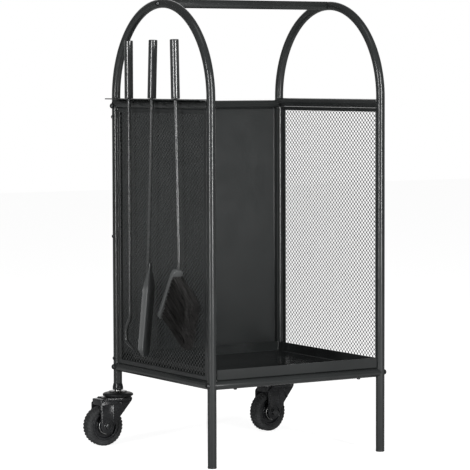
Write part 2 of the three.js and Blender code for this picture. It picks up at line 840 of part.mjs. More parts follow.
function brushRod() {
  const knee = at(0, 0, -brushStraight);
  const end = brushRodEnd(0);
  const entry = onHolder(0, holderTopThickness / 2);
  const curve = new THREE.QuadraticBezierCurve3(knee, at(0, 0, -brushStraight - brushBend), entry);
  const path = [at(0, 0, rodInHandle), ...curve.getPoints(bendSteps), end];
  return rodAlong(path, rodRadius, rodSides, at(1, 0, 0));
}

// The tuft: strands of three sides standing on a slice of backing, drawn together down the brush
// and spread apart in width, so that no two cross.
function bristles() {
  const backingTop = (along) => holderDepth(along) + clearance;
  const half = holderWidth / 2 - bristleBackingMargin;
  const edge = bristleBackingInset;
  const slice = (along) => [
    onHolder(along, backingTop(along), -half),
    onHolder(along, backingTop(along), half),
    onHolder(along, backingTop(along) + bristleBacking, half),
    onHolder(along, backingTop(along) + bristleBacking, -half),
  ];
  const backing = solid(loft([slice(edge), slice(holderLength - edge)]));
  const firstRow = edge + bristleInset;
  const strands = [];
  for (let row = 0; row < bristleRows; row++) {
    const share = row / (bristleRows - 1);
    const along = THREE.MathUtils.lerp(firstRow, holderLength - firstRow, share);
    const slant = radians(THREE.MathUtils.lerp(bristleTopSlant, bristleEndSlant, share));
    const length = THREE.MathUtils.lerp(bristleTopLength, bristleEndLength, share);
    for (let column = 0; column < bristleColumns; column++) {
      const x = (half - bristleMargin) * ((2 * column) / (bristleColumns - 1) - 1);
      const stand = along + bristleStray * Math.sin(strayTurn * strands.length);
      const root = onHolder(stand, backingTop(stand) + bristleBacking / 2, x);
      const tip = onHolder(
        stand + length * Math.sin(slant),
        backingTop(along) + bristleBacking + length * Math.cos(slant),
        x * bristleSpread,
      );
      strands.push(solid(rodAlong([root, tip], bristleRadius, 3, at(1, 0, 0))));
    }
  }
  return geometryOf(wasm.Manifold.union([backing, ...strands]));
}

const brush = hangingTool(toolY.brush, brushLean, 0, 0);
place("brush_handle", handle(), toolCoat, brush);
place("brush_rod", brushRod(), toolCoat, brush);
place("brush_holder", brushHolder(), toolCoat, brush);
place("brush_bristles", bristles(), bristleFibre, brush);

// ---------- casters ----------

// In a caster's own frame the stem is on Z and the wheel trails towards -X, its axle along Y.
const wheelSpace = hubWidth / 2 + 2 * clearance;
const plateInner = wheelSpace + clearance;
const plateOuter = plateInner + forkPlateThickness;

function socketCap() {
  const outer = tubeRadius + clearance + socketWall;
  const cupFloor = socketBottom + socketWall;
  const plug = tubeBore - clearance;
  const bore = stemRadius + clearance;
  const profile = [
    [bore, socketBottom],
    [outer - socketEdge, socketBottom],
    [outer, socketBottom + socketEdge],
    [outer, socketBottom + socketDepth],
    [tubeRadius + clearance, socketBottom + socketDepth],
    [tubeRadius + clearance, cupFloor],
    [plug, cupFloor],
    [plug, socketBottom + socketPlug],
    [bore, socketBottom + socketPlug],
    [bore, socketBottom],
  ];
  return turned(profile, socketSides);
}

// The threaded stem, with its collar and washer, riveted through the swivel.
function stem() {
  const collarLow = swivelTop + clearance;
  const collarHigh = collarLow + stemCollarHeight - clearance;
  const washerLow = collarLow + washerShare * stemCollarHeight - washerThickness / 2;
  const profile = [
    [0, crownBottom - clearance],
    [stemRadius, crownBottom - clearance],
    [stemRadius, collarLow],
    [stemCollarRadius, collarLow],
    [stemCollarRadius, washerLow],
    [washerRadius, washerLow],
    [washerRadius, washerLow + washerThickness],
    [stemCollarRadius, washerLow + washerThickness],
    [stemCollarRadius, collarHigh],
    [stemRadius, collarHigh],
    [stemRadius, socketBottom + socketPlug],
    [0, socketBottom + socketPlug],
  ];
  return turned(profile, stemSides);
}

function swivelPlate() {
  const bore = stemRadius + clearance;
  const profile = [
    [bore, swivelBottom],
    [swivelPlateRadius - swivelPlateEdge, swivelBottom],
    [swivelPlateRadius, swivelBottom + swivelPlateEdge],
    [swivelPlateRadius, swivelTop - swivelPlateRound],
    [swivelPlateRadius - swivelPlateRound, swivelTop],
    [bore, swivelTop],
    [bore, swivelBottom],
  ];
  return turned(profile, swivelPlateSides);
}

// One side plate of the fork, in X and Z: a round foot at the axle, a slanted front edge.
function forkOutline() {
  const foot = ribWidth / 2;
  const shape = new THREE.Shape();
  shape.moveTo(-wheelTrail - foot, wheelRadius);
  shape.absarc(-wheelTrail, wheelRadius, foot, Math.PI, 2 * Math.PI, false);
  shape.lineTo(-forkNotch, wheelRadius + forkNotchRise);
  shape.lineTo(forkFront, crownBottom);
  shape.lineTo(forkFront, crownTop);
  shape.lineTo(-wheelTrail, crownTop);
  shape.lineTo(-wheelTrail - foot, crownBottom - forkShoulder);
  return shape;
}

function fork() {
  const plates = [
    plateXZ(forkOutline(), plateInner, plateOuter),
    plateXZ(forkOutline(), -plateOuter, -plateInner),
  ];
  const crown = [
    block(-wheelTrail, forkFront, -plateOuter, plateOuter, crownBottom, crownTop),
    barZ(crownBottom, crownTop, 0, 0, forkCrownRadius, forkCrownSides),
  ];
  const ribLow = wheelRadius;
  const ribHigh = crownBottom - ribDrop;
  const ribHalf = ribWidth / 2 - ribInset;
  const ribs = [-1, 1].flatMap((side) => {
    const near = side * (plateOuter - forkPlateThickness / 2);
    const far = side * (plateOuter + ribThickness);
    const [y0, y1] = [Math.min(near, far), Math.max(near, far)];
    return [
      block(-wheelTrail - ribHalf, -wheelTrail + ribHalf, y0, y1, ribLow, ribHigh),
      barY(y0, y1, -wheelTrail, ribLow, ribHalf, ribSides),
    ];
  });
  const reach = plateOuter + 2 * ribThickness;
  const kingPin = barZ(0, crownTop + overshoot, 0, 0, stemRadius + clearance, stemSides);
  const axleHole = barY(-reach, reach, -wheelTrail, wheelRadius, axleRadius + clearance, axleSides);
  const pinHole = barY(-reach, reach, pedalPinX, pedalPinZ, pedalPinRadius + clearance, pedalPinSides);
  return cut(join(...plates, ...crown, ...ribs), kingPin, axleHole, pinHole);
}

// Turns a solid of revolution onto the wheel's axle.
const onAxle = (geometry) => geometry.rotateX(Math.PI / 2).translate(-wheelTrail, 0, wheelRadius);

function axle() {
  const half = plateOuter + ribThickness + clearance;
  const profile = [
    [0, -half - axleHeadHeight],
    [axleHeadRadius, -half - axleHeadHeight],
    [axleHeadRadius, -half],
    [axleRadius, -half],
    [axleRadius, half],
    [axleHeadRadius, half],
    [axleHeadRadius, half + axleHeadHeight],
    [0, half + axleHeadHeight],
  ];
  return onAxle(turned(profile, axleSides));
}

const tyreBore = wheelRadius - tyreDepth;

function wheelHub() {
  const bore = axleRadius + clearance;
  const rimHalf = tyreWidth / 2 - hubRimInset;
  const rimRadius = tyreBore - clearance;
  const rimInner = rimRadius - hubRimThickness;
  const profile = [
    [bore, -hubWidth / 2],
    [hubBossRadius, -hubWidth / 2],
    [hubBossRadius, -hubWebWidth / 2],
    [rimInner, -hubWebWidth / 2],
    [rimInner, -rimHalf],
    [rimRadius, -rimHalf],
    [rimRadius, rimHalf],
    [rimInner, rimHalf],
    [rimInner, hubWebWidth / 2],
    [hubBossRadius, hubWebWidth / 2],
    [hubBossRadius, hubWidth / 2],
    [bore, hubWidth / 2],
    [bore, -hubWidth / 2],
  ];
  return onAxle(turned(profile, hubSides));
}

function tyre() {
  const half = tyreWidth / 2;
  const profile = [
    [tyreBore, -half + tyreBead],
    [tyreBore + tyreBead, -half],
    [wheelRadius - tyreShoulder, -half],
    [wheelRadius, -half + tyreShoulder],
    [wheelRadius, half - tyreShoulder],
    [wheelRadius - tyreShoulder, half],
    [tyreBore + tyreBead, half],
    [tyreBore, half - tyreBead],
    [tyreBore, -half + tyreBead],
  ];
  return onAxle(turned(profile, tyreSides));
}

// The brake pedal turns on a pin across the fork and reaches back over the tyre, hollowed to
// clear it. Pressing its raised tab brings it down onto the tread.
const pedalPinX = -pedalPinTrail;
const pedalPinZ = crownBottom - pedalPinDrop;

function brakePedal() {
  const half = pedalWidth / 2;
  const end = pedalPinX - pedalReach;
  const tabTop = crownBottom + pedalTabRise;
  const armTop = crownBottom - pedalArmDrop;
  const outline = new THREE.Shape();
  outline.moveTo(pedalPinX + pedalNose, pedalPinZ - pedalPinRadius);
  outline.lineTo(end, pedalPinZ - pedalEndDrop);
  outline.lineTo(end, tabTop - pedalEdge);
  outline.lineTo(end + pedalEdge, tabTop);
  outline.lineTo(end + pedalTabLength, tabTop);
  outline.lineTo(end + pedalTabLength, armTop);
  outline.lineTo(pedalPinX, armTop);
  outline.lineTo(pedalPinX + pedalNose, pedalPinZ + pedalPinRadius);
  const arm = plateXZ(outline, -half, half);
  const tyreSpaceRadius = wheelRadius + brakeGap;
  const tyreSpace = barY(-pedalWidth, pedalWidth, -wheelTrail, wheelRadius, tyreSpaceRadius, tyreSpaceSides);
  const pin = barY(-plateOuter, plateOuter, pedalPinX, pedalPinZ, pedalPinRadius, pedalPinSides);
  return join(cut(arm, tyreSpace), pin);
}

for (const { name, sign } of sides) {
  const station = new THREE.Group();
  station.position.set(sign * hoopX, legY, 0);
  cart.add(station);
  place(`${name}_caster_socket`, socketCap(), casterPlastic, station);
  place(`${name}_caster_stem`, stem(), brightSteel, station);
  place(`${name}_swivel_plate`, swivelPlate(), casterSteel, station);
  const swivel = new THREE.Group();
  swivel.rotation.z = sign > 0 ? radians(rightCasterTurn) : 0;
  station.add(swivel);
  place(`${name}_caster_fork`, fork(), casterPlastic, swivel);
  place(`${name}_caster_axle`, axle(), brightSteel, swivel);
  place(`${name}_wheel_hub`, wheelHub(), casterPlastic, swivel);
  place(`${name}_tyre`, tyre(), tyreRubber, swivel);
  place(`${name}_brake_pedal`, brakePedal(), casterPlastic, swivel);
}

// ---------- the part's own frame ----------

// The origin is on the floor, under the middle of the whole cart.
cart.updateMatrixWorld(true);
const size = new THREE.Box3().setFromObject(cart, true);
cart.position.set(-(size.min.x + size.max.x) / 2, -(size.min.y + size.max.y) / 2, -size.min.z);

export default cart;
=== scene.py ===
"""The looks of a fireside log cart: powder-coated tube, expanded mesh, folded sheet, hearth tools
and casters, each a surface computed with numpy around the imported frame. Metres, +Z up."""

import math

import bpy
import numpy as np
from mathutils import Matrix, Vector


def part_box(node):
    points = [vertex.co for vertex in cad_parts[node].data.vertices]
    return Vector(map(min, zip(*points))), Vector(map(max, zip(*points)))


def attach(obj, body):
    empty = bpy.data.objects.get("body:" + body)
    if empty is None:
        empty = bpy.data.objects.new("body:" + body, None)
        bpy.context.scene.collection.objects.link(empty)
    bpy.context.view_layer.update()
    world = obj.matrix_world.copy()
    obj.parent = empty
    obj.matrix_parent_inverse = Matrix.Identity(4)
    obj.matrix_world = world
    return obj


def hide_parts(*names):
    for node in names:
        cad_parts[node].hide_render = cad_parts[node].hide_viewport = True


MM = 0.001
SIDES = ("left", "right")

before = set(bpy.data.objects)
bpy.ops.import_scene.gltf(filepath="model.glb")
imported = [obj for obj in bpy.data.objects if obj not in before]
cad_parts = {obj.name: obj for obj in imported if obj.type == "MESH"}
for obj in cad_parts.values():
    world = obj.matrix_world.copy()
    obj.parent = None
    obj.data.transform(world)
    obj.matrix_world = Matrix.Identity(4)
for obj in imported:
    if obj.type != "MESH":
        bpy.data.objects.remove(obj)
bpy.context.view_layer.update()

# ---------- places read from the frame ----------


def middle(node):
    low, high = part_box(node)
    return (low + high) / 2


HOOP_LOW, HOOP_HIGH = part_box("left_hoop")
TUBE = (HOOP_HIGH.x - HOOP_LOW.x) / 2
HOOP_X = {side: middle(f"{side}_hoop").x for side in SIDES}
FRONT_Y = HOOP_LOW.y + TUBE
REAR_Y = HOOP_HIGH.y - TUBE
MID_Y = (FRONT_Y + REAR_Y) / 2
ARCH_TOP = HOOP_HIGH.z - TUBE
ARCH_RADIUS = (REAR_Y - FRONT_Y) / 2
SPRING_Z = ARCH_TOP - ARCH_RADIUS
TOP_RAIL_Z = middle("left_top_rail").z
BOTTOM_RAIL_Z = middle("left_bottom_rail").z
REAR_TOP_Z = middle("rear_top_rail").z
OUTWARD = {"left": -1, "right": 1}
AXIS_X, AXIS_Y, AXIS_Z = np.eye(3)

# ---------- camera, light and floor ----------

CAMERA_PLACE = (-2.34435, -3.79105, 0.6905)
CAMERA_YAW = math.radians(31.74)
CAMERA_PITCH = math.radians(-3.79)
CAMERA_ROLL = math.radians(-0.17)
CAMERA_LENS = 185.65
CAMERA_SENSOR = 36.0


def add_camera():
    """Looks along -Z: pitched up from the floor's plane, then turned by the yaw, after its own roll."""
    camera = bpy.data.objects.new("camera", bpy.data.cameras.new("camera"))
    camera.data.lens = CAMERA_LENS
    camera.data.sensor_width = CAMERA_SENSOR
    camera.data.clip_end = 50
    place = Matrix.Translation(CAMERA_PLACE)
    for angle, axis in ((-CAMERA_YAW, "Z"), (math.pi / 2 + CAMERA_PITCH, "X"), (CAMERA_ROLL, "Z")):
        place = place @ Matrix.Rotation(angle, 4, axis)
    camera.matrix_world = place
    bpy.context.scene.collection.objects.link(camera)
    bpy.context.scene.camera = camera


LIGHT_TARGET = Vector((0.02, -0.01, 0.45))
# Each lamp: name, degrees to the camera's right as seen from the cart, height, distance,
# width, length and watts.
LAMPS = (
    ("left_strip", -35.0, 1.05, 3.0, 0.36, 1.9, 46.0),
    ("right_strip", 31.0, 1.05, 3.0, 0.36, 1.9, 66.0),
    ("top_box", 0.0, 3.0, 0.9, 1.2, 1.2, 4.0),
)
WORLD_LEVEL = 0.16
BACKDROP_SPREAD = (math.cos(math.radians(38)), math.cos(math.radians(26)))
WHITE = (1, 1, 1, 1)
FLOOR_HALF = 9.0
FLOOR_GREY = (0.8, 0.8, 0.8, 1)
FLOOR_LIFT = 0.84


def add_lamps():
    """Tall strips on both sides of the camera, and a soft box overhead."""
    toward = Vector(CAMERA_PLACE) - LIGHT_TARGET
    bearing = math.atan2(toward.y, toward.x)
    for name, swing, height, distance, width, length, watts in LAMPS:
        turn = bearing + math.radians(swing)
        lamp = bpy.data.lights.new(name, "AREA")
        lamp.shape = "RECTANGLE"
        lamp.size = width
        lamp.size_y = length
        lamp.energy = watts
        holder = bpy.data.objects.new(name, lamp)
        place = Vector((math.cos(turn) * distance, math.sin(turn) * distance, 0)) + LIGHT_TARGET
        place.z = height
        aim = LIGHT_TARGET - place
        if height < distance:
            aim.z = 0  # the strips stand upright
        holder.location = place
        holder.rotation_euler = aim.to_track_quat("-Z", "Y").to_euler()
        bpy.context.scene.collection.objects.link(holder)


def add_node(tree, kind, inputs, **settings):
    """Adds a shader node with its settings. Each input takes a value or another node's output."""
    node = tree.nodes.new("ShaderNode" + kind)
    for name, value in settings.items():
        setattr(node, name, value)
    for key, value in inputs.items():
        if isinstance(value, bpy.types.NodeSocket):
            tree.links.new(value, node.inputs[key])
        else:
            node.inputs[key].default_value = value
    return node


def add_world():
    """A dark studio with a white backdrop behind the cart. Rays from the camera and through glossy
    surfaces see the backdrop; it is white where a ray's direction lies within BACKDROP_SPREAD of
    the camera's forward, level with the floor or above it. Diffuse light comes at an even low level."""
    world = bpy.data.worlds.new("studio")
    world.use_nodes = True
    tree = world.node_tree
    tree.nodes.clear()
    ray = add_node(tree, "LightPath", {}).outputs
    direction = add_node(tree, "TexCoord", {}).outputs["Generated"]
    ahead = (math.sin(CAMERA_YAW), math.cos(CAMERA_YAW), 0)
    forward = add_node(tree, "VectorMath", {0: direction, 1: ahead}, operation="DOT_PRODUCT").outputs["Value"]
    dark, bright = BACKDROP_SPREAD
    span = {"Value": forward, "From Min": dark, "From Max": bright, "To Min": WORLD_LEVEL, "To Max": 1.0}
    backdrop = add_node(tree, "MapRange", span).outputs["Result"]

    def even(strength):
        return add_node(tree, "Background", {"Color": WHITE, "Strength": strength}).outputs[0]

    light, seen, white = even(WORLD_LEVEL), even(backdrop), even(1.0)
    glossy = add_node(tree, "MixShader", {"Fac": ray["Is Glossy Ray"], 1: light, 2: seen}).outputs[0]
    camera = add_node(tree, "MixShader", {"Fac": ray["Is Camera Ray"], 1: glossy, 2: white}).outputs[0]
    add_node(tree, "OutputWorld", {"Surface": camera})
    bpy.context.scene.world = world


def add_floor():
    """A wide pale floor. What the camera sees of it is lifted to white, with the cart's shadow."""
    near, far = -FLOOR_HALF, FLOOR_HALF
    mesh = bpy.data.meshes.new("floor")
    mesh.from_pydata([(near, near, 0), (far, near, 0), (far, far, 0), (near, far, 0)], [], [(0, 1, 2, 3)])
    floor = bpy.data.objects.new("floor", mesh)
    bpy.context.scene.collection.objects.link(floor)
    material = bpy.data.materials.new("pale_floor")
    material.use_nodes = True
    tree = material.node_tree
    tree.nodes.clear()
    seen = add_node(tree, "LightPath", {}).outputs["Is Camera Ray"]
    lift = add_node(tree, "Math", {0: seen, 1: FLOOR_LIFT}, operation="MULTIPLY").outputs[0]
    glow = add_node(tree, "Emission", {"Color": WHITE, "Strength": lift}).outputs[0]
    diffuse = add_node(tree, "BsdfDiffuse", {"Color": FLOOR_GREY}).outputs[0]
    both = add_node(tree, "AddShader", {0: diffuse, 1: glow}).outputs[0]
    add_node(tree, "OutputMaterial", {"Surface": both})
    mesh.materials.append(material)


# ---------- finishes ----------


def linear(red, green, blue):
    """An 8-bit sRGB colour as linear light."""
    share = np.array([red, green, blue]) / 255.0
    return tuple(np.where(share <= 0.04045, share / 12.92, ((share + 0.055) / 1.055) ** 2.4)) + (1.0,)


class Finish:
    """A Principled material with a few procedural layers on Object coordinates. Each layer is
    driven by a noise whose factor counts between 0.3 and 0.7."""

    def __init__(self, name, roughness, metallic=0.0):
        self.material = bpy.data.materials.new(name)
        self.material.use_nodes = True
        self.tree = self.material.node_tree
        self.shader = self.tree.nodes["Principled BSDF"]
        self.shader.inputs["Roughness"].default_value = roughness
        self.shader.inputs["Metallic"].default_value = metallic
        self.coordinates = add_node(self.tree, "TexCoord", {}).outputs["Object"]
        self.bump = None

    def drive(self, socket, output):
        self.tree.links.new(output, self.shader.inputs[socket])

    def noise(self, scale, detail=3.0, stretch=(1, 1, 1), tilt=0.0):
        """Noise with features of about 1/scale metres, finer by stretch along axes tilted about X."""
        place = {"Vector": self.coordinates, "Scale": [1 / s for s in stretch], "Rotation": (tilt, 0, 0)}
        mapped = add_node(self.tree, "Mapping", place, vector_type="TEXTURE").outputs[0]
        grain = {"Vector": mapped, "Scale": scale, "Detail": detail, "Roughness": 0.55}
        return add_node(self.tree, "TexNoise", grain).outputs["Fac"]

    def colour(self, source, dark, pale):
        """Base colour between two 8-bit colours."""
        node = add_node(self.tree, "ValToRGB", {"Fac": source})
        for stop, place, shade in zip(node.color_ramp.elements, (0.3, 0.7), (dark, pale)):
            stop.position, stop.color = place, linear(*shade)
        self.drive("Base Color", node.outputs["Color"])

    def gloss(self, source, low, high):
        """Roughness between low and high."""
        span = {"Value": source, "From Min": 0.3, "From Max": 0.7, "To Min": low, "To Max": high}
        self.drive("Roughness", add_node(self.tree, "MapRange", span).outputs["Result"])

    def relief(self, source, depth, strength):
        """Adds a bump of the given depth over any earlier one."""
        inputs = {"Height": source, "Distance": depth, "Strength": strength}
        if self.bump:
            inputs["Normal"] = self.bump
        self.bump = add_node(self.tree, "Bump", inputs).outputs["Normal"]
        self.drive("Normal", self.bump)


def powder_coat(name, dark, pale, roughness, orange_peel=0.35, specular=0.5):
    """Baked powder: a fine orange peel, faint clouding and slightly uneven gloss."""
    coat = Finish(name, roughness)
    coat.colour(coat.noise(9, 4), dark, pale)
    coat.gloss(coat.noise(26, 3), roughness - 0.04, roughness + 0.05)
    coat.relief(coat.noise(420, 2), 0.12 * MM, orange_peel)
    coat.relief(coat.noise(1900, 1), 0.04 * MM, orange_peel)
    coat.shader.inputs["Specular IOR Level"].default_value = specular
    return coat.material


def moulded_plastic(name, dark, pale, roughness):
    """Spark-eroded mould grain over an even black."""
    plastic = Finish(name, roughness)
    plastic.colour(plastic.noise(35, 3), dark, pale)
    plastic.gloss(plastic.noise(160, 2), roughness - 0.05, roughness + 0.08)
    plastic.relief(plastic.noise(1500, 3), 0.08 * MM, 0.4)
    return plastic.material


def tyre_rubber():
    """Matt rubber with a dusty cast and moulding speckle."""
    rubber = Finish("tyre_rubber", 0.78)
    rubber.colour(rubber.noise(60, 5), (34, 35, 36), (62, 63, 64))
    rubber.gloss(rubber.noise(220, 3), 0.68, 0.86)
    rubber.relief(rubber.noise(900, 4), 0.2 * MM, 0.5)
    return rubber.material


def plated_steel(name, dark, pale, roughness):
    """Plated turned steel: fine streaks that cross the axis, and a mottled plating."""
    steel = Finish(name, roughness, metallic=1.0)
    steel.colour(steel.noise(120, 4), dark, pale)
    steel.gloss(steel.noise(500, 3, stretch=(0.2, 0.2, 6)), roughness - 0.06, roughness + 0.1)
    steel.relief(steel.noise(700, 2, stretch=(0.2, 0.2, 5)), 0.05 * MM, 0.5)
    return steel.material


STRAND_LIE = math.atan2(56, 84)  # the brush holder's run over its fall


def bristle_fibre(name, dark, pale):
    """Dark waxed fibre, with streaks along the strands a little lighter than their neighbours."""
    fibre = Finish(name, 0.55)
    fibre.colour(fibre.noise(420, 3, stretch=(1, 0.06, 1), tilt=STRAND_LIE), dark, pale)
    fibre.gloss(fibre.noise(300, 2), 0.42, 0.66)
    fibre.relief(fibre.noise(2200, 1, stretch=(1, 0.1, 1), tilt=STRAND_LIE), 0.1 * MM, 0.4)
    return fibre.material


FRAME_COAT = powder_coat("frame_powder_coat", (41, 43, 43), (47, 49, 49), 0.20)
SHEET_COAT = powder_coat("sheet_powder_coat", (47, 49, 49), (52, 54, 54), 0.34, 0.4)
TRAY_COAT = powder_coat("tray_powder_coat", (38, 40, 40), (43, 45, 45), 0.10, 0.12)
MESH_COAT = powder_coat("mesh_powder_coat", (38, 40, 40), (48, 50, 50), 0.34)
TOOL_COAT = powder_coat("tool_powder_coat", (46, 48, 48), (53, 55, 55), 0.26, 0.25, 0.85)
GRIP_COAT = powder_coat("grip_powder_coat", (46, 48, 48), (53, 55, 55), 0.19, 0.2, 1.0)
BRUSH_COAT = powder_coat("brush_powder_coat", (76, 78, 78), (84, 86, 86), 0.30, 0.25, 0.85)
PAN_COAT = powder_coat("pan_powder_coat", (50, 52, 52), (57, 59, 59), 0.40, 0.25, 0.8)
CAP_PLASTIC = moulded_plastic("foot_cap_plastic", (30, 31, 31), (40, 41, 41), 0.5)
CASTER_PLASTIC = moulded_plastic("caster_plastic", (26, 27, 29), (38, 39, 41), 0.26)
CASTER_STEEL = powder_coat("caster_black_plate", (20, 21, 22), (30, 31, 32), 0.45, 0.3, 0.3)
WASHER_STEEL = plated_steel("washer_steel", (36, 36, 36), (60, 60, 60), 0.2)
BLACK_STEEL = plated_steel("blackened_steel", (60, 61, 62), (98, 99, 100), 0.26)
BRIGHT_STEEL = plated_steel("bright_steel", (150, 150, 149), (206, 206, 204), 0.16)
RING_STEEL = plated_steel("ring_steel", (180, 180, 179), (222, 222, 220), 0.36)
TYRE_RUBBER = tyre_rubber()
BRISTLE_FIBRE = bristle_fibre("bristle_fibre", (14, 14, 14), (68, 67, 66))
# The tuft's core wears a darker copy of the bristle fibre: painted shade for the dense inside of the tuft.
SHADED_CORE_FIBRE = bristle_fibre("bristle_core_painted_shade", (8, 8, 8), (22, 22, 22))

# ---------- surfaces ----------
# A shell is one closed surface, held as (points, faces).


def mm(*values):
    """Lengths or points given in millimetres."""
    return np.array(values, float) * MM


def skin(grid, along=False):
    """Joins a grid of points, rows by columns, into quads. Columns close on themselves, and so do
    rows where along is true; otherwise a flat face closes the first and the last row."""
    rows, columns = grid.shape[:2]
    row = np.arange(rows if along else rows - 1)[:, None]
    column = np.arange(columns)[None, :]
    next_row, next_column = (row + 1) % rows, (column + 1) % columns
    corners = [row * columns + column, row * columns + next_column]
    corners += [next_row * columns + next_column, next_row * columns + column]
    faces = np.stack(corners, -1).reshape(-1, 4).tolist()
    if not along:
        faces.append(list(range(columns))[::-1])
        faces.append(list(range((rows - 1) * columns, rows * columns)))
    return facing_out(grid.reshape(-1, 3), faces)


def facing_out(points, faces):
    """Turns every face round if the shell's signed volume is negative."""
    volume = 0.0
    for corners in {len(f) for f in faces}:
        loop = points[np.array([f for f in faces if len(f) == corners])]
        fan = np.cross(loop[:, 1:-1], loop[:, 2:])
        volume += np.einsum("ijk,ik->", fan, loop[:, 0])
    return points, [f[::-1] for f in faces] if volume < 0 else faces


def piece(name, body, material, shells, nodes=(), crease=32.0):
    """One object made of shells, smooth except where faces meet at more than crease degrees."""
    points, faces, start = [], [], 0
    for shell_points, shell_faces in shells:
        points.append(shell_points)
        faces += [[start + i for i in f] for f in shell_faces]
        start += len(shell_points)
    mesh = bpy.data.meshes.new(name)
    mesh.from_pydata(np.concatenate(points).tolist(), [], faces)
    mesh.materials.append(material)
    mesh.polygons.foreach_set("use_smooth", np.ones(len(mesh.polygons), bool))
    mesh.set_sharp_from_angle(angle=math.radians(crease))
    mesh.update()
    made = bpy.data.objects.new(name, mesh)
    bpy.context.scene.collection.objects.link(made)
    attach(made, body)
    if nodes:
        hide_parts(*nodes)
    return made


def circle(count, radius=1.0):
    """Points of a circle, counted from the first axis towards the second."""
    turn = 2 * np.pi * np.arange(count) / count
    return radius * np.stack([np.cos(turn), np.sin(turn)], -1)


def rounded(outline, radius, steps=3, closed=True):
    """Replaces each corner of an outline by a curve that starts and ends a radius away from it,
    or a third of the way along a shorter edge."""
    outline = np.asarray(outline, float)
    before, after = np.roll(outline, 1, 0), np.roll(outline, -1, 0)
    radius = np.broadcast_to(radius, len(outline))
    parts = []
    for i, (p, a, b) in enumerate(zip(outline, before, after)):
        if radius[i] == 0 or (not closed and i in (0, len(outline) - 1)):
            parts.append(p[None])
            continue
        reach_a = min(radius[i] / np.linalg.norm(a - p), 0.34)
        reach_b = min(radius[i] / np.linalg.norm(b - p), 0.34)
        start, end = p + (a - p) * reach_a, p + (b - p) * reach_b
        t = np.linspace(0, 1, steps + 1)[:, None]
        parts.append((1 - t) ** 2 * start + 2 * t * (1 - t) * p + t**2 * end)
    return np.concatenate(parts)


def sweep(path, section, side):
    """Carries a section along a path in a plane. Its first coordinate lies along side, which is
    square to that plane, and its second square to side and the path. One section a row is allowed."""
    path = np.asarray(path, float)
    along = np.gradient(path, axis=0)
    along /= np.linalg.norm(along, axis=1, keepdims=True)
    out = np.cross(along, side)
    section = np.broadcast_to(section, (len(path),) + np.shape(section)[-2:])
    return path[:, None] + section[..., :1] * side + section[..., 1:] * out[:, None]


def turned(profile, centre, axis, segments=48, radius_at=None):
    """Revolves [radius, height] pairs about an axis through centre. radius_at(radii, turn) may
    reshape the rings."""
    profile = np.asarray(profile, float)
    axis = np.asarray(axis, float) / np.linalg.norm(axis)
    across = np.cross(axis, AXIS_X if abs(axis[0]) < 0.9 else AXIS_Y)
    across /= np.linalg.norm(across)
    third = np.cross(axis, across)
    turn = 2 * np.pi * np.arange(segments) / segments
    radii = np.repeat(profile[:, :1], segments, 1)
    if radius_at is not None:
        radii = radius_at(radii, turn)
    spokes = np.cos(turn)[:, None] * across + np.sin(turn)[:, None] * third
    return np.asarray(centre) + radii[..., None] * spokes + profile[:, None, 1:] * axis


def inset(outline, amount):
    """An outline drawn in along the mean normal of the edges at each point."""
    edges = np.roll(outline, -1, 0) - outline
    edges /= np.linalg.norm(edges, axis=1, keepdims=True) + 1e-12
    area = np.sum(outline[:, 0] * np.roll(outline[:, 1], -1) - np.roll(outline[:, 0], -1) * outline[:, 1])
    normals = np.stack([-edges[:, 1], edges[:, 0]], -1) * np.sign(area)
    both = normals + np.roll(normals, 1, 0)
    both /= np.maximum(np.sum(both * both, 1, keepdims=True) / 2, 0.5)
    return outline + both * amount


def plate(outline, low, high, place, edge=0.4 * MM):
    """A flat plate: an outline in two coordinates between two heights, with eased edges.
    place(u, v, w) gives its points in the cart's frame."""
    outline = np.asarray(outline, float)
    drawn_in, eased = inset(outline, edge), inset(outline, 0.3 * edge)
    rows = [(drawn_in, low), (eased, low + 0.3 * edge), (outline, low + edge)]
    rows += [(outline, high - edge), (eased, high - 0.3 * edge), (drawn_in, high)]
    grid = np.stack([np.stack(place(o[:, 0], o[:, 1], np.full(len(o), h)), -1) for o, h in rows])
    return skin(grid)


def box(low, high, edge=0.4 * MM):
    """A block with eased edges and rounded upright corners."""
    (x0, y0, z0), (x1, y1, z1) = low, high
    outline = rounded([(x0, y0), (x1, y0), (x1, y1), (x0, y1)], edge, 2)
    return plate(outline, z0, z1, lambda u, v, w: (u, v, w), edge)


# ---------- tube frame ----------

ROUND = 40
ARCH_STEPS = 72
WELD = 1.6 * MM
BOLTED_GAP = 0.3 * MM


def hoop(side):
    """Straight front leg, half-circle arch and straight rear leg as one swept round tube."""
    foot_z, cap_z = HOOP_LOW.z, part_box(f"{side}_caster_socket")[0].z + 2 * MM
    turn = np.linspace(np.pi, 0, ARCH_STEPS + 1)
    arch = np.stack([MID_Y + ARCH_RADIUS * np.cos(turn), SPRING_Z + ARCH_RADIUS * np.sin(turn)], -1)
    front = [(FRONT_Y, foot_z), (FRONT_Y, SPRING_Z - TUBE)]
    rear = [(REAR_Y, SPRING_Z - TUBE), (REAR_Y, cap_z)]
    line = np.concatenate([front, arch, rear])
    path = np.column_stack([np.full(len(line), HOOP_X[side]), line])
    return skin(sweep(path, circle(ROUND, TUBE), AXIS_X))


def saddle(offset, gap=0.0):
    """How far from a leg's centre line a tube that meets it squarely stops, at a given offset."""
    reach = TUBE + gap
    return np.sqrt(np.maximum(reach**2 - offset**2, 0))


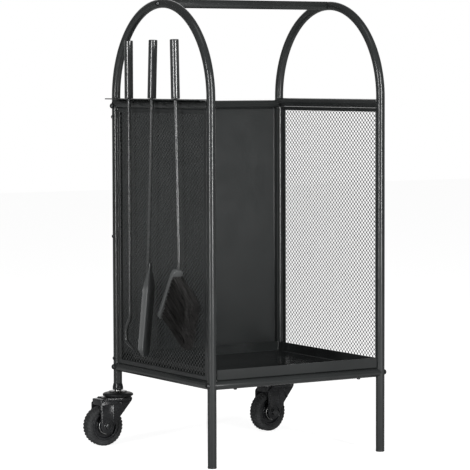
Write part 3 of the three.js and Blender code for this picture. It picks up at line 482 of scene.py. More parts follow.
def welded_rail(x, z):
    """A tube between the legs whose ends follow them, flared into a fillet weld."""
    away = np.array([0, 0.12, 0.35, 0.7, 1.0, 1.8]) * WELD
    flare = WELD * np.clip(1 - away / WELD, 0, 1) ** 2
    ripple = 0.12 * MM * np.sin(2 * np.pi * 9 * np.arange(ROUND) / ROUND) * (away < WELD)[:, None]
    ring = circle(ROUND)
    radius = TUBE + flare[:, None] + ripple
    u, v = radius * ring[:, 0], radius * ring[:, 1]
    front = FRONT_Y + saddle(u) + away[:, None]
    rear = REAR_Y - saddle(u) - away[:, None]
    near = np.stack([x + u, front, z + v], -1)
    far = np.stack([x + u, rear, z + v], -1)[::-1]
    return skin(np.concatenate([near, far]))


def cross_rail(y, z, arch=False):
    """A tube across the cart, coped to the legs or, as the handle, to the tops of the arches. Its
    cut ends are drawn in a little."""
    ring = circle(ROUND, TUBE)
    reach = saddle(ring[:, 1 if arch else 0], BOLTED_GAP)
    cut = ((reach + 0.15 * MM, 0.97), (reach + 0.8 * MM, 1.0))
    rows = []
    for side, inward in (("left", 1), ("right", -1)):
        for away, size in cut[::inward]:
            x = HOOP_X[side] + inward * away
            rows.append(np.stack([x, y + size * ring[:, 0], z + size * ring[:, 1]], -1))
    return skin(np.stack(rows))


def tube_frame():
    for side in SIDES:
        piece(f"{side}_hoop_tube", "cart", FRAME_COAT, [hoop(side)], [f"{side}_hoop"])
        for level, z in (("top", TOP_RAIL_Z), ("bottom", BOTTOM_RAIL_Z)):
            rail = welded_rail(HOOP_X[side], z)
            piece(f"{side}_{level}_rail_tube", "cart", FRAME_COAT, [rail], [f"{side}_{level}_rail"], 50)
    across = (
        ("rear_top_rail_tube", "rear_top_rail", cross_rail(REAR_Y, REAR_TOP_Z)),
        ("rear_bottom_rail_tube", "rear_bottom_rail", cross_rail(REAR_Y, BOTTOM_RAIL_Z)),
        ("front_bottom_rail_tube", "front_bottom_rail", cross_rail(FRONT_Y, BOTTOM_RAIL_Z)),
        ("push_handle_tube", "handle_bar", cross_rail(MID_Y, ARCH_TOP, arch=True)),
    )
    for name, node, tube in across:
        piece(name, "cart", FRAME_COAT, [tube], [node], 50)


def front_foot(side):
    """A cap whose rim is as wide as the tube, with a plug up inside it."""
    low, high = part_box(f"{side}_front_foot")
    lip = HOOP_LOW.z - 0.2 * MM
    bore = 0.75 * TUBE
    outline = [(0.2 * TUBE, 0), (TUBE, 0), (TUBE, lip), (bore, lip), (bore, high.z), (0.2 * TUBE, high.z)]
    profile = rounded(outline, 0.8 * MM, 4, closed=False)
    return skin(turned(profile, (HOOP_X[side], FRONT_Y, 0), AXIS_Z))


# ---------- bolts and screws ----------


def hexagon(radii, turn):
    """The radius of a hexagon whose flats are as far from the axis as the ring's radius."""
    return radii / np.cos((turn + np.pi / 6) % (np.pi / 3) - np.pi / 6)


def cross(radii, turn):
    """The outline of a cross recess: wide on four arms and narrow between."""
    return radii * (0.45 + 0.55 * np.abs(np.cos(2 * turn)) ** 3)


# A head's radius and height, its recess, the recess's radius and depth, and the shank's radius.
BOLT = (5.0 * MM, 4.0 * MM, hexagon, 1.9 * MM, 2.2 * MM, 2.9 * MM)
SCREW = (3.2 * MM, 2.0 * MM, cross, 1.5 * MM, 1.1 * MM, 1.7 * MM)


def dome_head(seat, axis, radius, height, recess, recess_radius, depth, shank):
    """A domed head with a driver recess, and the start of its shank behind the seat."""
    brow = 1.25 * recess_radius
    swell = np.linspace(0, 0.92, 7) * np.pi / 2
    crown = np.column_stack([brow + (radius - brow) * np.sin(swell), height * (0.12 + 0.88 * np.cos(swell))])
    rim = [(radius, 0.15 * height), (radius, 0.0), (shank, 0.0), (shank, -3 * height)]
    hole = [(recess_radius, height - depth), (recess_radius, height)]

    def reshape(radii, turn):
        shaped = radii.copy()
        shaped[: len(hole)] = recess(radii[: len(hole)], turn)
        return shaped

    return skin(turned(np.concatenate([hole, crown, rim]), seat, axis, 48, reshape))


def bolts_and_screws():
    def fasten(name, node, kind, axis, x=None, z=None):
        """A head at the node's place, moved to x or z where one is given."""
        at = middle(node)
        seat = (at.x if x is None else x, at.y, at.z if z is None else z)
        piece(name, "cart", BLACK_STEEL, [dome_head(seat, axis, *kind)], [node])

    for side in SIDES:
        outer, outward = HOOP_X[side] + OUTWARD[side] * TUBE, (OUTWARD[side], 0, 0)
        for where in ("rear_top", "rear_bottom", "front_bottom", "handle"):
            node = f"{side}_{where}_bolt"
            fasten(f"{node}_head", node, BOLT, outward, x=outer)
        for i in (1, 2, 3):
            fasten(f"{side}_back_screw_head_{i}", f"{side}_back_screw_{i}", SCREW, outward, x=outer)
        for row in ("front", "rear"):
            node = f"{row}_{side}_tray_screw"
            fasten(f"{node}_head", node, SCREW, (0, 0, -1), z=BOTTOM_RAIL_Z - TUBE)


# ---------- expanded mesh sides ----------

MESH_WIDTH = 10.0 * MM  # long way of the diamond, front to rear
MESH_HEIGHT = 8.45 * MM
MESH_STRAND = 0.95 * MM
MESH_SHEET = 0.3 * MM
MESH_TWIST = 0.1 * MM
SIDE_GAP = 2.5 * MM
SIDE_BORDER = 8.0 * MM
END_BORDER = 7.0 * MM
BORDER_SHEET = 1.6 * MM
TAB_HEIGHT = 12.0 * MM
TAB_INSET = 6.0 * MM
NET_TUCK = 1.0 * MM  # the net's edge inside its border


def net(low_y, high_y, low_z, high_z, x, outward):
    """Expanded sheet. Diamond cells stand on a staggered lattice, and each is a ring from its
    outer diamond, which it shares with its neighbours, in to its hole. The hole's lower edge is
    pushed out and its upper edge in, which twists every strand as the press does."""
    columns = round((high_y - low_y) / MESH_WIDTH)
    rows = round((high_z - low_z) / MESH_HEIGHT)
    wide, tall = (high_y - low_y) / columns, (high_z - low_z) / rows
    i, j = np.meshgrid(np.arange(2 * columns + 1), np.arange(2 * rows + 1), indexing="ij")
    whole = (i + j) % 2 == 0
    i, j = i[whole], j[whole]
    centre = np.stack([low_y + i * wide / 2, low_z + j * tall / 2], -1)
    ring = np.array([(1, 0), (0.5, 0.5), (0, 1), (-0.5, 0.5), (-1, 0), (-0.5, -0.5), (0, -1), (0.5, -0.5)])
    outer = ring * (wide / 2, tall / 2)
    hole_wide = wide / 2 - MESH_STRAND / 2 * math.hypot(1, wide / tall)
    hole_tall = tall / 2 - MESH_STRAND / 2 * math.hypot(1, tall / wide)
    corner = np.where(np.arange(8) % 2 == 0, 0.9, 1.02)[:, None]
    inner = ring * (hole_wide, hole_tall) * corner
    lean = -np.sign(ring[:, 1]) * np.array([0, 1, 0.8, 1, 0, 1, 0.8, 1]) * MESH_TWIST
    half = MESH_SHEET / 2
    lift = [np.full(8, half), lean + half, lean - half, np.full(8, -half)]
    flat = [outer, inner, inner, outer]
    layers = np.stack([np.column_stack([outward * l, f]) for l, f in zip(lift, flat)])
    points = layers[None] + np.concatenate([np.full((len(i), 1), x), centre], 1)[:, None, None]
    k = np.arange(8)
    n = (k + 1) % 8
    quads = np.concatenate([np.stack([k, n, 8 + n, 8 + k], -1) + 8 * layer for layer in range(3)])
    faces = (np.arange(len(i))[:, None, None] * 32 + quads).reshape(-1, 4)
    edge_wall = []
    for first, (step_i, step_j) in ((0, (1, 1)), (2, (-1, 1)), (4, (-1, -1)), (6, (1, -1))):
        bare = (i + step_i < 0) | (i + step_i > 2 * columns) | (j + step_j < 0) | (j + step_j > 2 * rows)
        for a in (first, first + 1):
            b = (a + 1) % 8
            wall = np.array([24 + a, 24 + b, b, a])
            edge_wall.append(np.flatnonzero(bare)[:, None] * 32 + wall)
    faces = np.concatenate([faces] + edge_wall)
    points = points.reshape(-1, 3)
    micron = np.round(points * 1e6).astype(int)
    _, first_of, same = np.unique(micron, axis=0, return_index=True, return_inverse=True)
    return facing_out(points[first_of], same.reshape(-1)[faces].tolist())


def border(low_y, high_y, low_z, high_z, x0, x1):
    """A flat strip round the net: rectangles nested from its outer edge to its window."""
    ease = 0.35 * MM

    def ring(share, x, draw=0.0):
        """A rectangle between the outer edge, at 0, and the window, at 1, drawn into the strip."""
        dy, dz = SIDE_BORDER * share + draw, END_BORDER * share + draw
        front, rear, foot, top = low_y + dy, high_y - dy, low_z + dz, high_z - dz
        return [(x, front, foot), (x, rear, foot), (x, rear, top), (x, front, top)]

    rows = [ring(0, x0, ease), ring(0, x0 + ease), ring(0, x1 - ease), ring(0, x1, ease)]
    rows += [ring(1, x1, -ease), ring(1, x1 - ease), ring(1, x0 + ease), ring(1, x0, -ease)]
    return skin(np.array(rows), along=True)


def mesh_side(side):
    """The net, the strip round it and the tabs that are welded to the legs."""
    low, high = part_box(f"{side}_mesh_panel")
    low_y, high_y = FRONT_Y + TUBE + SIDE_GAP, REAR_Y - TUBE - SIDE_GAP
    x = (low.x + high.x) / 2
    x0, x1 = x - BORDER_SHEET / 2, x + BORDER_SHEET / 2
    in_y, in_z = SIDE_BORDER - NET_TUCK, END_BORDER - NET_TUCK
    window = (low_y + in_y, high_y - in_y, low.z + in_z, high.z - in_z)
    shells = [border(low_y, high_y, low.z, high.z, x0, x1)]
    front_tab = (FRONT_Y + 0.9 * TUBE, low_y + SIDE_BORDER / 2)
    rear_tab = (high_y - SIDE_BORDER / 2, REAR_Y - 0.9 * TUBE)
    for z in (low.z + TAB_INSET, (low.z + high.z - TAB_HEIGHT) / 2, high.z - TAB_INSET - TAB_HEIGHT):
        for y0, y1 in (front_tab, rear_tab):
            shells.append(box((x0 + 0.1 * MM, y0, z), (x1 - 0.1 * MM, y1, z + TAB_HEIGHT)))
    piece(f"{side}_mesh_border", "cart", MESH_COAT, shells, [f"{side}_mesh_panel"])
    lattice = piece(f"{side}_mesh_net", "cart", MESH_COAT, [net(*window, x, OUTWARD[side])])


# ---------- sheet back and log tray ----------

BACK_SHEET = 1.2 * MM
SEAM = 0.8 * MM  # how far the sheet reaches behind the rail above it
BACK_BEND = 2.6 * MM
TRAY_SHEET = 1.2 * MM
TRAY_BEND = 3.0 * MM
TRAY_CORNER = 2.0 * MM
TONGUE_WIDTH = 24 * MM
TRAY_REAR_GAP = 9 * MM
TRAY_SIDE_REACH = 3.2 * MM  # past the CAD tray, up to the legs


def back_sheet():
    """A sheet whose two sides turn forwards, as one U outline between its foot and its top edge."""
    low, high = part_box("back_panel")
    high = high + Vector((0, 0, SEAM))
    outside = [(low.x, low.y), (low.x, high.y), (high.x, high.y), (high.x, low.y)]
    t = BACK_SHEET
    inside = [(high.x - t, low.y), (high.x - t, high.y - t), (low.x + t, high.y - t), (low.x + t, low.y)]
    radii = [0, BACK_BEND, BACK_BEND, 0, 0, BACK_BEND - t, BACK_BEND - t, 0]
    outline = rounded(outside + inside, radii, 6)
    return plate(outline, low.z, high.z, lambda u, v, w: (u, v, w), 0.25 * MM)


def tray_ring(low, high, draw, z, corner):
    """A rounded rectangle drawn in from the tray's outside."""
    x0, x1, y0, y1 = low.x + draw, high.x - draw, low.y + draw, high.y - draw
    ring = rounded([(x0, y0), (x1, y0), (x1, y1), (x0, y1)], max(corner - draw, 0.3 * MM), 5)
    return np.column_stack([ring, np.full(len(ring), z)])


def tray():
    """Nested rings that go out along the underside, round the bend, up the wall, over its edge,
    down inside and in across the floor, with rear tongues and a weld bead up each inner corner."""
    low, high = (corner.copy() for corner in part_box("log_tray"))
    tongue_end = high.y
    low.x, high.x = low.x - TRAY_SIDE_REACH, high.x + TRAY_SIDE_REACH
    low.z = BOTTOM_RAIL_Z + TUBE - 0.05 * MM
    high.y = REAR_Y - TRAY_REAR_GAP
    bend = np.linspace(0, np.pi / 2, 6)
    t, r = TRAY_SHEET, TRAY_BEND
    outer = [(r * (1 - math.sin(a)), low.z + r * (1 - math.cos(a))) for a in bend]
    edge = [(0, high.z - 0.3 * MM), (0.3 * MM, high.z), (t - 0.3 * MM, high.z), (t, high.z - 0.3 * MM)]
    inner = [(t + (r - t) * (1 - math.cos(a)), low.z + r - (r - t) * math.sin(a)) for a in bend]
    rows = [tray_ring(low, high, draw, z, TRAY_CORNER) for draw, z in outer + edge + inner]
    shells = [skin(np.stack(rows))]
    for side in SIDES:
        x = middle(f"rear_{side}_tray_screw").x
        near = (x - TONGUE_WIDTH / 2, high.y - 2 * r, low.z)
        shells.append(box(near, (x + TONGUE_WIDTH / 2, tongue_end, low.z + t)))
    for x in (low.x + t, high.x - t):
        for y in (low.y + t, high.y - t):
            shells.append(weld_bead((x, y, low.z + t + 1 * MM), (x, y, high.z - 0.8 * MM), 1.3 * MM))
    return shells


def weld_bead(start, end, radius):
    """A run of overlapping drops: a rod whose radius ripples along its length."""
    start, end = np.array(start), np.array(end)
    steps = 40
    share = np.linspace(0, 1, steps)
    swell = radius * (0.75 + 0.25 * np.abs(np.sin(np.pi * share * 9)))
    swell *= np.sqrt(np.clip(1 - (2 * share - 1) ** 8, 0.05, 1))
    path = start + (end - start) * share[:, None]
    along = (end - start) / np.linalg.norm(end - start)
    side = np.cross(along, AXIS_X if abs(along[0]) < 0.9 else AXIS_Y)
    return skin(sweep(path, circle(12) * swell[:, None, None], side / np.linalg.norm(side)))


# ---------- tool rack and hearth tools ----------

RACK_NOTCH = 4.2 * MM
TOOL_INSET = 11 * MM  # tool's axis from the rack's outer edge
TOOL_SPACING = 84 * MM
HANG_GAP = 0.3 * MM
GRIP = 8.0 * MM
GRIP_LENGTH = 105 * MM
ROD = 3.5 * MM
INTO_GRIP = 40 * MM  # the shaft inside the grip
RACK_LOW, RACK_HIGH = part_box("tool_rack")
RACK_Y = (RACK_LOW.y + RACK_HIGH.y) / 2
TOOL_Y = {"poker": RACK_Y + TOOL_SPACING, "shovel": RACK_Y, "brush": RACK_Y - TOOL_SPACING}


def rack():
    """A strip with three open notches, their inner ends half circles."""
    x0, y0, x1, y1 = RACK_LOW.x, RACK_LOW.y, RACK_HIGH.x, RACK_HIGH.y
    half_turn = np.linspace(-np.pi / 2, np.pi / 2, 13)
    outline = [(x0, y0), (x1, y0), (x1, y1), (x0, y1)]
    for y in sorted(TOOL_Y.values(), reverse=True):
        bend = [(x0 + TOOL_INSET + RACK_NOTCH * math.cos(a), y - RACK_NOTCH * math.sin(a)) for a in half_turn]
        outline += [(x0, y + RACK_NOTCH)] + bend + [(x0, y - RACK_NOTCH)]
    return plate(outline, RACK_LOW.z, RACK_HIGH.z, lambda u, v, w: (u, v, w), 0.3 * MM)


def turn_matrix(*degrees):
    """Rotation about Z, then Y, then X, from the three angles in the order X, Y, Z."""
    matrix = np.eye(3)
    for axis, angle in enumerate(math.radians(v) for v in degrees):
        turn = np.eye(3)
        i, j = (axis + 1) % 3, (axis + 2) % 3
        turn[i, i] = turn[j, j] = math.cos(angle)
        turn[i, j], turn[j, i] = -math.sin(angle), math.sin(angle)
        matrix = matrix @ turn
    return matrix


class Placed:
    """A local frame, by its turn and its origin in the cart's frame. Called, it places a shell."""

    def __init__(self, matrix, origin):
        self.matrix, self.origin = matrix, np.array(origin)

    def __call__(self, shell):
        points, faces = shell
        return points @ self.matrix.T + self.origin, faces


def hanging(tool, forward=0.0, outward=0.0, turn=0.0):
    """A tool's own frame: its origin where the shaft leaves the grip, Z up the shaft, leaning as it hangs."""
    rise = GRIP * math.sin(math.radians(abs(forward) + abs(outward)))
    origin = (RACK_LOW.x + TOOL_INSET, TOOL_Y[tool], RACK_HIGH.z + HANG_GAP + rise)
    return Placed(turn_matrix(forward, outward, turn), origin)


def grip():
    """A round handle with a flat top whose edge is rolled, and a collar edge round the shaft."""
    profile = [(ROD, 0), (GRIP, 0), (GRIP, GRIP_LENGTH), (0.3 * GRIP, GRIP_LENGTH)]
    return skin(turned(rounded(profile, mm(0, 1.2, 1.6, 0), 5, closed=False), (0, 0, 0), AXIS_Z))


def round_rod(path, radius=ROD):
    """A round rod along a path in the YZ plane. The radius may change from row to row."""
    radius = np.broadcast_to(radius, len(path))
    path = np.column_stack([np.zeros(len(path)), path])
    return skin(sweep(path, circle(24) * radius[:, None, None], AXIS_X))


POKER_STRAIGHT = 396 * MM
POKER_OFFSET = 15 * MM
POKER_BEND = 32 * MM
POKER_TAIL = 18 * MM
SPIKE_LENGTH = 31 * MM
SPIKE_DROP = 13 * MM


def poker_rod():
    """Straight shaft, an S-bend rearwards, and a tapered spike that points forwards and down."""
    share = np.linspace(0, 1, 15)
    sway = POKER_OFFSET * (0.5 - 0.5 * np.cos(np.pi * share))
    bend = np.column_stack([sway, -POKER_STRAIGHT - POKER_BEND * share])
    knee = (POKER_OFFSET, -POKER_STRAIGHT - POKER_BEND - POKER_TAIL)
    run = math.sqrt(SPIKE_LENGTH**2 - SPIKE_DROP**2)
    tip = (POKER_OFFSET - run, knee[1] - SPIKE_DROP)
    corner = rounded([bend[-1], knee, tip], [0, 7 * MM, 0], 9, closed=False)
    t = np.linspace(0, 1, 12)[1:, None]
    spike = corner[-2] + (np.array(tip) - corner[-2]) * t
    path = np.concatenate([[(0, INTO_GRIP)], bend, corner[1:-1], spike])
    radius = np.full(len(path), ROD)
    radius[-11:] = ROD * (1 - 0.6 * t[:, 0] ** 2)
    return round_rod(path, radius)


SHOVEL_LEAN = 1.75
SHOVEL_TURN = -39.5
SHOVEL_SHAFT = 318 * MM
PAN_TOP = 296 * MM
PAN_LENGTH = 168 * MM
PAN_WIDTH = 76 * MM
PAN_NECK = 20 * MM
PAN_SHOULDER = 48 * MM
PAN_SIDE = 8.5 * MM
PAN_LIP = 16 * MM
PAN_SHEET = 1.2 * MM
PAN_TILT = 0.06
PAN_STEP = 2.2 * MM  # how far the floor stands off the shaft below the shoulder


def smooth(share):
    share = np.clip(share, 0, 1)
    return share * share * (3 - 2 * share)


def shovel_pan():
    """Sections across the pan, down its length: a floor with turned-up sides that widens from the
    neck over the shoulder and draws in at a rounded lip. Local +X is the floor's back."""
    rows = []
    lip_start = PAN_LENGTH - PAN_LIP
    for down in np.concatenate([np.linspace(0, lip_start, 34), np.linspace(lip_start, PAN_LENGTH, 10)[1:]]):
        shoulder = float(smooth(down / PAN_SHOULDER))
        lip = max(0.0, (down - lip_start) / PAN_LIP)
        half = (PAN_NECK + (PAN_WIDTH - PAN_NECK) * shoulder) / 2 * math.sqrt(1 - 0.75 * lip**2)
        side = PAN_SIDE * shoulder * (1 - lip) + 1.5 * PAN_SHEET
        floor = ROD + HANG_GAP + PAN_SHEET + PAN_STEP * shoulder - PAN_TILT * max(0.0, down - PAN_SHOULDER)
        t, rim, inner = PAN_SHEET, floor - side, floor - PAN_SHEET
        outline = [(rim, -half), (floor, -half + t / 2), (floor, half - t / 2), (rim, half)]
        outline += [(rim, half - t), (inner, half - 1.5 * t), (inner, -half + 1.5 * t), (rim, -half + t)]
        section = rounded(outline, np.minimum(mm(0.3, 4, 4, 0.3, 0.3, 3, 3, 0.3), side / 3), 4)
        rows.append(np.column_stack([section, np.full(len(section), -PAN_TOP - down)]))
    return skin(np.stack(rows))


BRUSH_LEAN = -1.9
BRUSH_STRAIGHT = 278 * MM
BRUSH_BEND = 21 * MM
BRUSH_OFFSET = 9 * MM
HOLDER_TOP = 304 * MM
HOLDER_RUN = 56 * MM
HOLDER_FALL = 84 * MM
HOLDER_THICK = 9 * MM
HOLDER_THIN = 8 * MM
HOLDER_WIDTH = 23 * MM
HOLDER_LAP = 6 * MM  # how far its top end passes the tuft
HOLDER_LENGTH = math.hypot(HOLDER_RUN, HOLDER_FALL)
TUFT_TOP_LENGTH = 73 * MM
TUFT_END_LENGTH = 99 * MM
TUFT_TOP_SLANT = math.radians(9)
TUFT_END_SLANT = math.radians(0)
TUFT_TAPER = 0.5  # share of its width that the tuft loses towards the lower end
BUNDLE_ROWS = 13
BUNDLE_COLUMNS = 4
BUNDLE_FIBRES = 30


def on_holder(along, out):
    """Points in the YZ plane of the brush, by their place along the holder's back and out from it."""
    d = np.array([HOLDER_RUN, -HOLDER_FALL]) / HOLDER_LENGTH
    n = np.array([d[1], -d[0]])
    start = np.array([BRUSH_OFFSET, -HOLDER_TOP])
    return start + np.multiply.outer(along, d) + np.multiply.outer(out, n)


def brush_rod():
    """A straight shaft that bends back into the holder's top end."""
    knee, below = np.array([0, -BRUSH_STRAIGHT]), np.array([0, -BRUSH_STRAIGHT - BRUSH_BEND])
    entry = on_holder(0.0, HOLDER_THICK / 2)
    t = np.linspace(0, 1, 14)[:, None]
    curve = (1 - t) ** 2 * knee + 2 * t * (1 - t) * below + t**2 * entry
    path = np.concatenate([[(0, INTO_GRIP)], curve, [on_holder(14 * MM, HOLDER_THICK / 2)]])
    return round_rod(path)


def brush_holder():
    """A plank whose top end is a half circle in plan and runs past the tuft."""
    half, waist, end = HOLDER_WIDTH / 2, HOLDER_LENGTH / 2, HOLDER_LENGTH
    turn = np.linspace(-np.pi / 2, np.pi / 2, 25)
    top = np.column_stack([half - HOLDER_LAP - half * np.cos(turn), half * np.sin(turn)])
    foot = rounded([(waist, half), (end, half), (end, -half), (waist, -half)], 9 * MM, 6, closed=False)

    def place(u, v, w):
        return v, *on_holder(u, w).T

    return plate(np.concatenate([top, foot]), 0.0, (HOLDER_THICK + HOLDER_THIN) / 2, place, 1.4 * MM)


def lie_of_tuft(row):
    """Where along the holder a row of fibres stands, by its share of the tuft, their slant and length."""
    along = 4 * MM + row * (HOLDER_LENGTH - 8 * MM)
    slant = TUFT_TOP_SLANT + (TUFT_END_SLANT - TUFT_TOP_SLANT) * row
    return along, slant, TUFT_TOP_LENGTH + (TUFT_END_LENGTH - TUFT_TOP_LENGTH) * row


def tuft():
    """Fibres in bundles, each from a hole in the holder. A fibre leaves the middle of its bundle by
    a fixed pseudo-random amount that grows towards its tip, so bundles stand apart at the root."""
    rng = np.random.default_rng(7)
    shape = (BUNDLE_ROWS, BUNDLE_COLUMNS, BUNDLE_FIBRES)
    row = np.broadcast_to(((np.arange(BUNDLE_ROWS) + 0.5) / BUNDLE_ROWS)[:, None, None], shape).ravel()
    column = np.broadcast_to(np.linspace(-1, 1, BUNDLE_COLUMNS)[None, :, None], shape).ravel()
    stray = np.clip(rng.normal(0, 1, (len(row), 4)), -2, 2)
    share = np.linspace(0, 1, 6)
    opening = 0.8 * MM + 1.5 * MM * share
    along, slant, length = lie_of_tuft(row)
    length = length + 1.5 * MM * stray[:, 2]
    run = along[:, None] + (length * np.sin(slant))[:, None] * share + stray[:, :1] * opening
    out = HOLDER_THIN - 1 * MM + (length * np.cos(slant))[:, None] * share
    half = (HOLDER_WIDTH / 2 - 3 * MM) * (1 - TUFT_TAPER * row**2)
    across = (column * half)[:, None] * (1 + 0.3 * share) + stray[:, 1:2] * opening
    spine = np.concatenate([across[..., None], on_holder(run, out)], -1)
    radius = (0.6 * MM * (1 - 0.4 * share))[None, :, None, None]
    ring = np.column_stack([circle(4), np.zeros(4)])[None, None]
    grids = spine[:, :, None] + radius * np.stack([ring[..., 0], ring[..., 1] * 0.6, ring[..., 1] * 0.8], -1)
    return [skin(grid) for grid in grids]


def tuft_core():
    """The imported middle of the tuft, inside its outline."""
    row = np.linspace(0.06, 0.95, 24)
    along, slant, length = lie_of_tuft(row)
    base = np.full(len(row), HOLDER_THIN - 1 * MM)
    root = on_holder(along, base)
    tip = on_holder(along + 0.88 * length * np.sin(slant), base + 0.88 * length * np.cos(slant))
    half = (HOLDER_WIDTH / 2 - 5 * MM) * (1 - TUFT_TAPER * row**2)
    ring = [(-half, root), (half, root), (1.2 * half, tip), (-1.2 * half, tip)]
    return skin(np.stack([np.column_stack([x, p]) for x, p in ring], 1))


def hearth_tools():
    piece("tool_rack_strip", "cart", FRAME_COAT, [rack()], ["tool_rack"])
    poker = hanging("poker")
    piece("poker_grip", "poker", GRIP_COAT, [poker(grip())], ["poker_handle"], 50)
    piece("poker_hook", "poker", TOOL_COAT, [poker(poker_rod())], ["poker_rod"], 50)
    shovel = hanging("shovel", outward=SHOVEL_LEAN, turn=SHOVEL_TURN)
    shaft = np.array([(0, INTO_GRIP), (0, -SHOVEL_SHAFT + 1.5 * MM), (0, -SHOVEL_SHAFT)])
    shaft = round_rod(shaft, np.array([ROD, ROD, 0.6 * ROD]))
    piece("shovel_grip", "shovel", GRIP_COAT, [shovel(grip())], ["shovel_handle"], 50)
    piece("shovel_shaft", "shovel", TOOL_COAT, [shovel(shaft)], ["shovel_rod"], 50)
    piece("shovel_scoop", "shovel", PAN_COAT, [shovel(shovel_pan())], ["shovel_pan"], 40)
    brush = hanging("brush", forward=BRUSH_LEAN)
    piece("brush_grip", "brush", GRIP_COAT, [brush(grip())], ["brush_handle"], 50)
    piece("brush_shaft", "brush", TOOL_COAT, [brush(brush_rod())], ["brush_rod"], 50)
    piece("brush_back", "brush", BRUSH_COAT, [brush(brush_holder())], ["brush_holder"])
    piece("brush_tuft", "brush", BRISTLE_FIBRE, [brush(s) for s in tuft()], ["brush_bristles"])
    # The core's near-black fibre is painted shade inside the tuft.
    core = piece("brush_tuft_core", "brush", SHADED_CORE_FIBRE, [brush(tuft_core())])


# ---------- casters ----------

TRAIL = 32.5 * MM
WHEEL = 37.5 * MM
TYRE_BORE = 27 * MM
TYRE_HALF = 13 * MM
TREAD_DEPTH = 1.3 * MM
TREAD_BLOCKS = 34
HUB_HALF = 15.5 * MM
AXLE = (-TRAIL, 0, WHEEL)
FORK_INNER = 16.4 * MM
FORK_SHEET = 3.0 * MM
FORK_OUTER = FORK_INNER + FORK_SHEET
RIB_HEIGHT = 2.5 * MM
RIB_HALF = 13 * MM
RIB_DISH = 1.8 * MM
ARCH_ROUND_AXLE = 12.2 * MM
CASTER_TURN = {"left": 0.0, "right": 10.0}


class Caster(Placed):
    """A caster's own frame: the stem on Z, the wheel trailing towards -X, its axle along Y."""

    def __init__(self, side):
        self.side = side
        stem = middle(f"{side}_caster_stem")
        super().__init__(turn_matrix(0, 0, CASTER_TURN[side]), (stem.x, stem.y, 0.0))

    def level(self, node):
        low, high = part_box(f"{self.side}_{node}")
        return low.z, high.z

    def add(self, name, body, material, shells, *nodes):
        nodes = [f"{self.side}_{node}" for node in nodes]
        return piece(f"{self.side}_{name}", body, material, [self(s) for s in shells], nodes)


def socket_cap(caster):
    """A moulded cup over the tube's end whose shoulder tapers up to the tube."""
    low, _ = caster.level("caster_socket")
    cup = mm((5.2, 0), (9.9, 0), (9.9, 5))
    lip = mm((0.3, 12), (-0.2, 12), (-0.2, 2)) + (TUBE, 0)
    outline = np.concatenate([cup, lip, mm((5.2, 2))]) + (0, low)
    profile = rounded(outline, mm(0, 1.6, 2, 0.3, 0, 0, 0), 4)
    return skin(turned(profile, (0, 0, 0), AXIS_Z), along=True)


def stem(caster):
    """The turned stem with its collar."""
    low, high = caster.level("caster_stem")
    _, plate_top = caster.level("swivel_plate")
    foot, top = mm((1, 0), (5, 0)) + (0, low), mm((5, 0), (1, 0)) + (0, high)
    collar = mm((5, 0), (6.4, 0), (6.4, 5), (5, 5)) + (0, plate_top)
    shape = rounded(np.concatenate([foot, collar, top]), mm(0, 0, 0, 0, 0.6, 0, 0.8, 0), 3, closed=False)
    return skin(turned(shape, (0, 0, 0), AXIS_Z, 60))


def washer(caster):
    """The wide washer round the collar."""
    low = caster.level("swivel_plate")[1] + 1.6 * MM
    shape = mm((6.2, 0), (17, 0), (17, 1.4), (6.2, 1.4)) + (0, low)
    return skin(turned(rounded(shape, mm(0, 0.5, 0.5, 0), 3), (0, 0, 0), AXIS_Z, 60), along=True)


def swivel_plate(caster):
    """The raceway cover: a shallow pressed dish with a rolled rim."""
    low, high = caster.level("swivel_plate")
    under = mm((5.4, 0), (25.5, 0), (25.5, 1.2), (28.5, 1.6)) + (0, low)
    over = mm((28.5, -2), (24.5, 0), (15, 0), (13, -0.8), (5.4, -0.8)) + (0, high)
    shape = rounded(np.concatenate([under, over]), mm(0, 0.5, 0.5, 1.2, 2, 2.4, 1, 1, 0), 4)
    return skin(turned(shape, (0, 0, 0), AXIS_Z, 64), along=True)


def fork(caster):
    """Two side plates, each with a dished rib and a curved crease, joined by a round crown."""
    _, crown_top = caster.level("caster_fork")
    crown_low = crown_top - 6 * MM
    half_turn = np.linspace(np.pi, 2 * np.pi, 19)
    foot = np.column_stack([-TRAIL + 14 * MM * np.cos(half_turn), WHEEL + 14 * MM * np.sin(half_turn)])
    front = [(-3 * MM, WHEEL + 20 * MM), (20 * MM, crown_low), (20 * MM, crown_top - 0.5 * MM)]
    rear = [(-TRAIL, crown_top - 0.5 * MM), (-TRAIL - 14 * MM, crown_low - 4 * MM)]
    outline = np.concatenate([foot, rounded(front + rear, 2.5 * MM, 4, closed=False)])
    shells = []
    for hand in (-1, 1):
        def place(u, v, w):
            return u, hand * w, v

        shells.append(plate(outline, FORK_INNER, FORK_OUTER, place, 0.8 * MM))
        shells += [fork_rib(hand, crown_low - 6 * MM), fork_crease(hand, crown_low)]
    turn = np.linspace(-1.9, 1.9, 33)
    round_front = np.column_stack([25 * MM * np.cos(turn), 25 * MM * np.sin(turn)])
    crown = np.concatenate([round_front, [(-TRAIL, FORK_OUTER), (-TRAIL, -FORK_OUTER)]])
    shells.append(plate(crown, crown_low, crown_top, lambda u, v, w: (u, v, w), 1.0 * MM))
    return shells


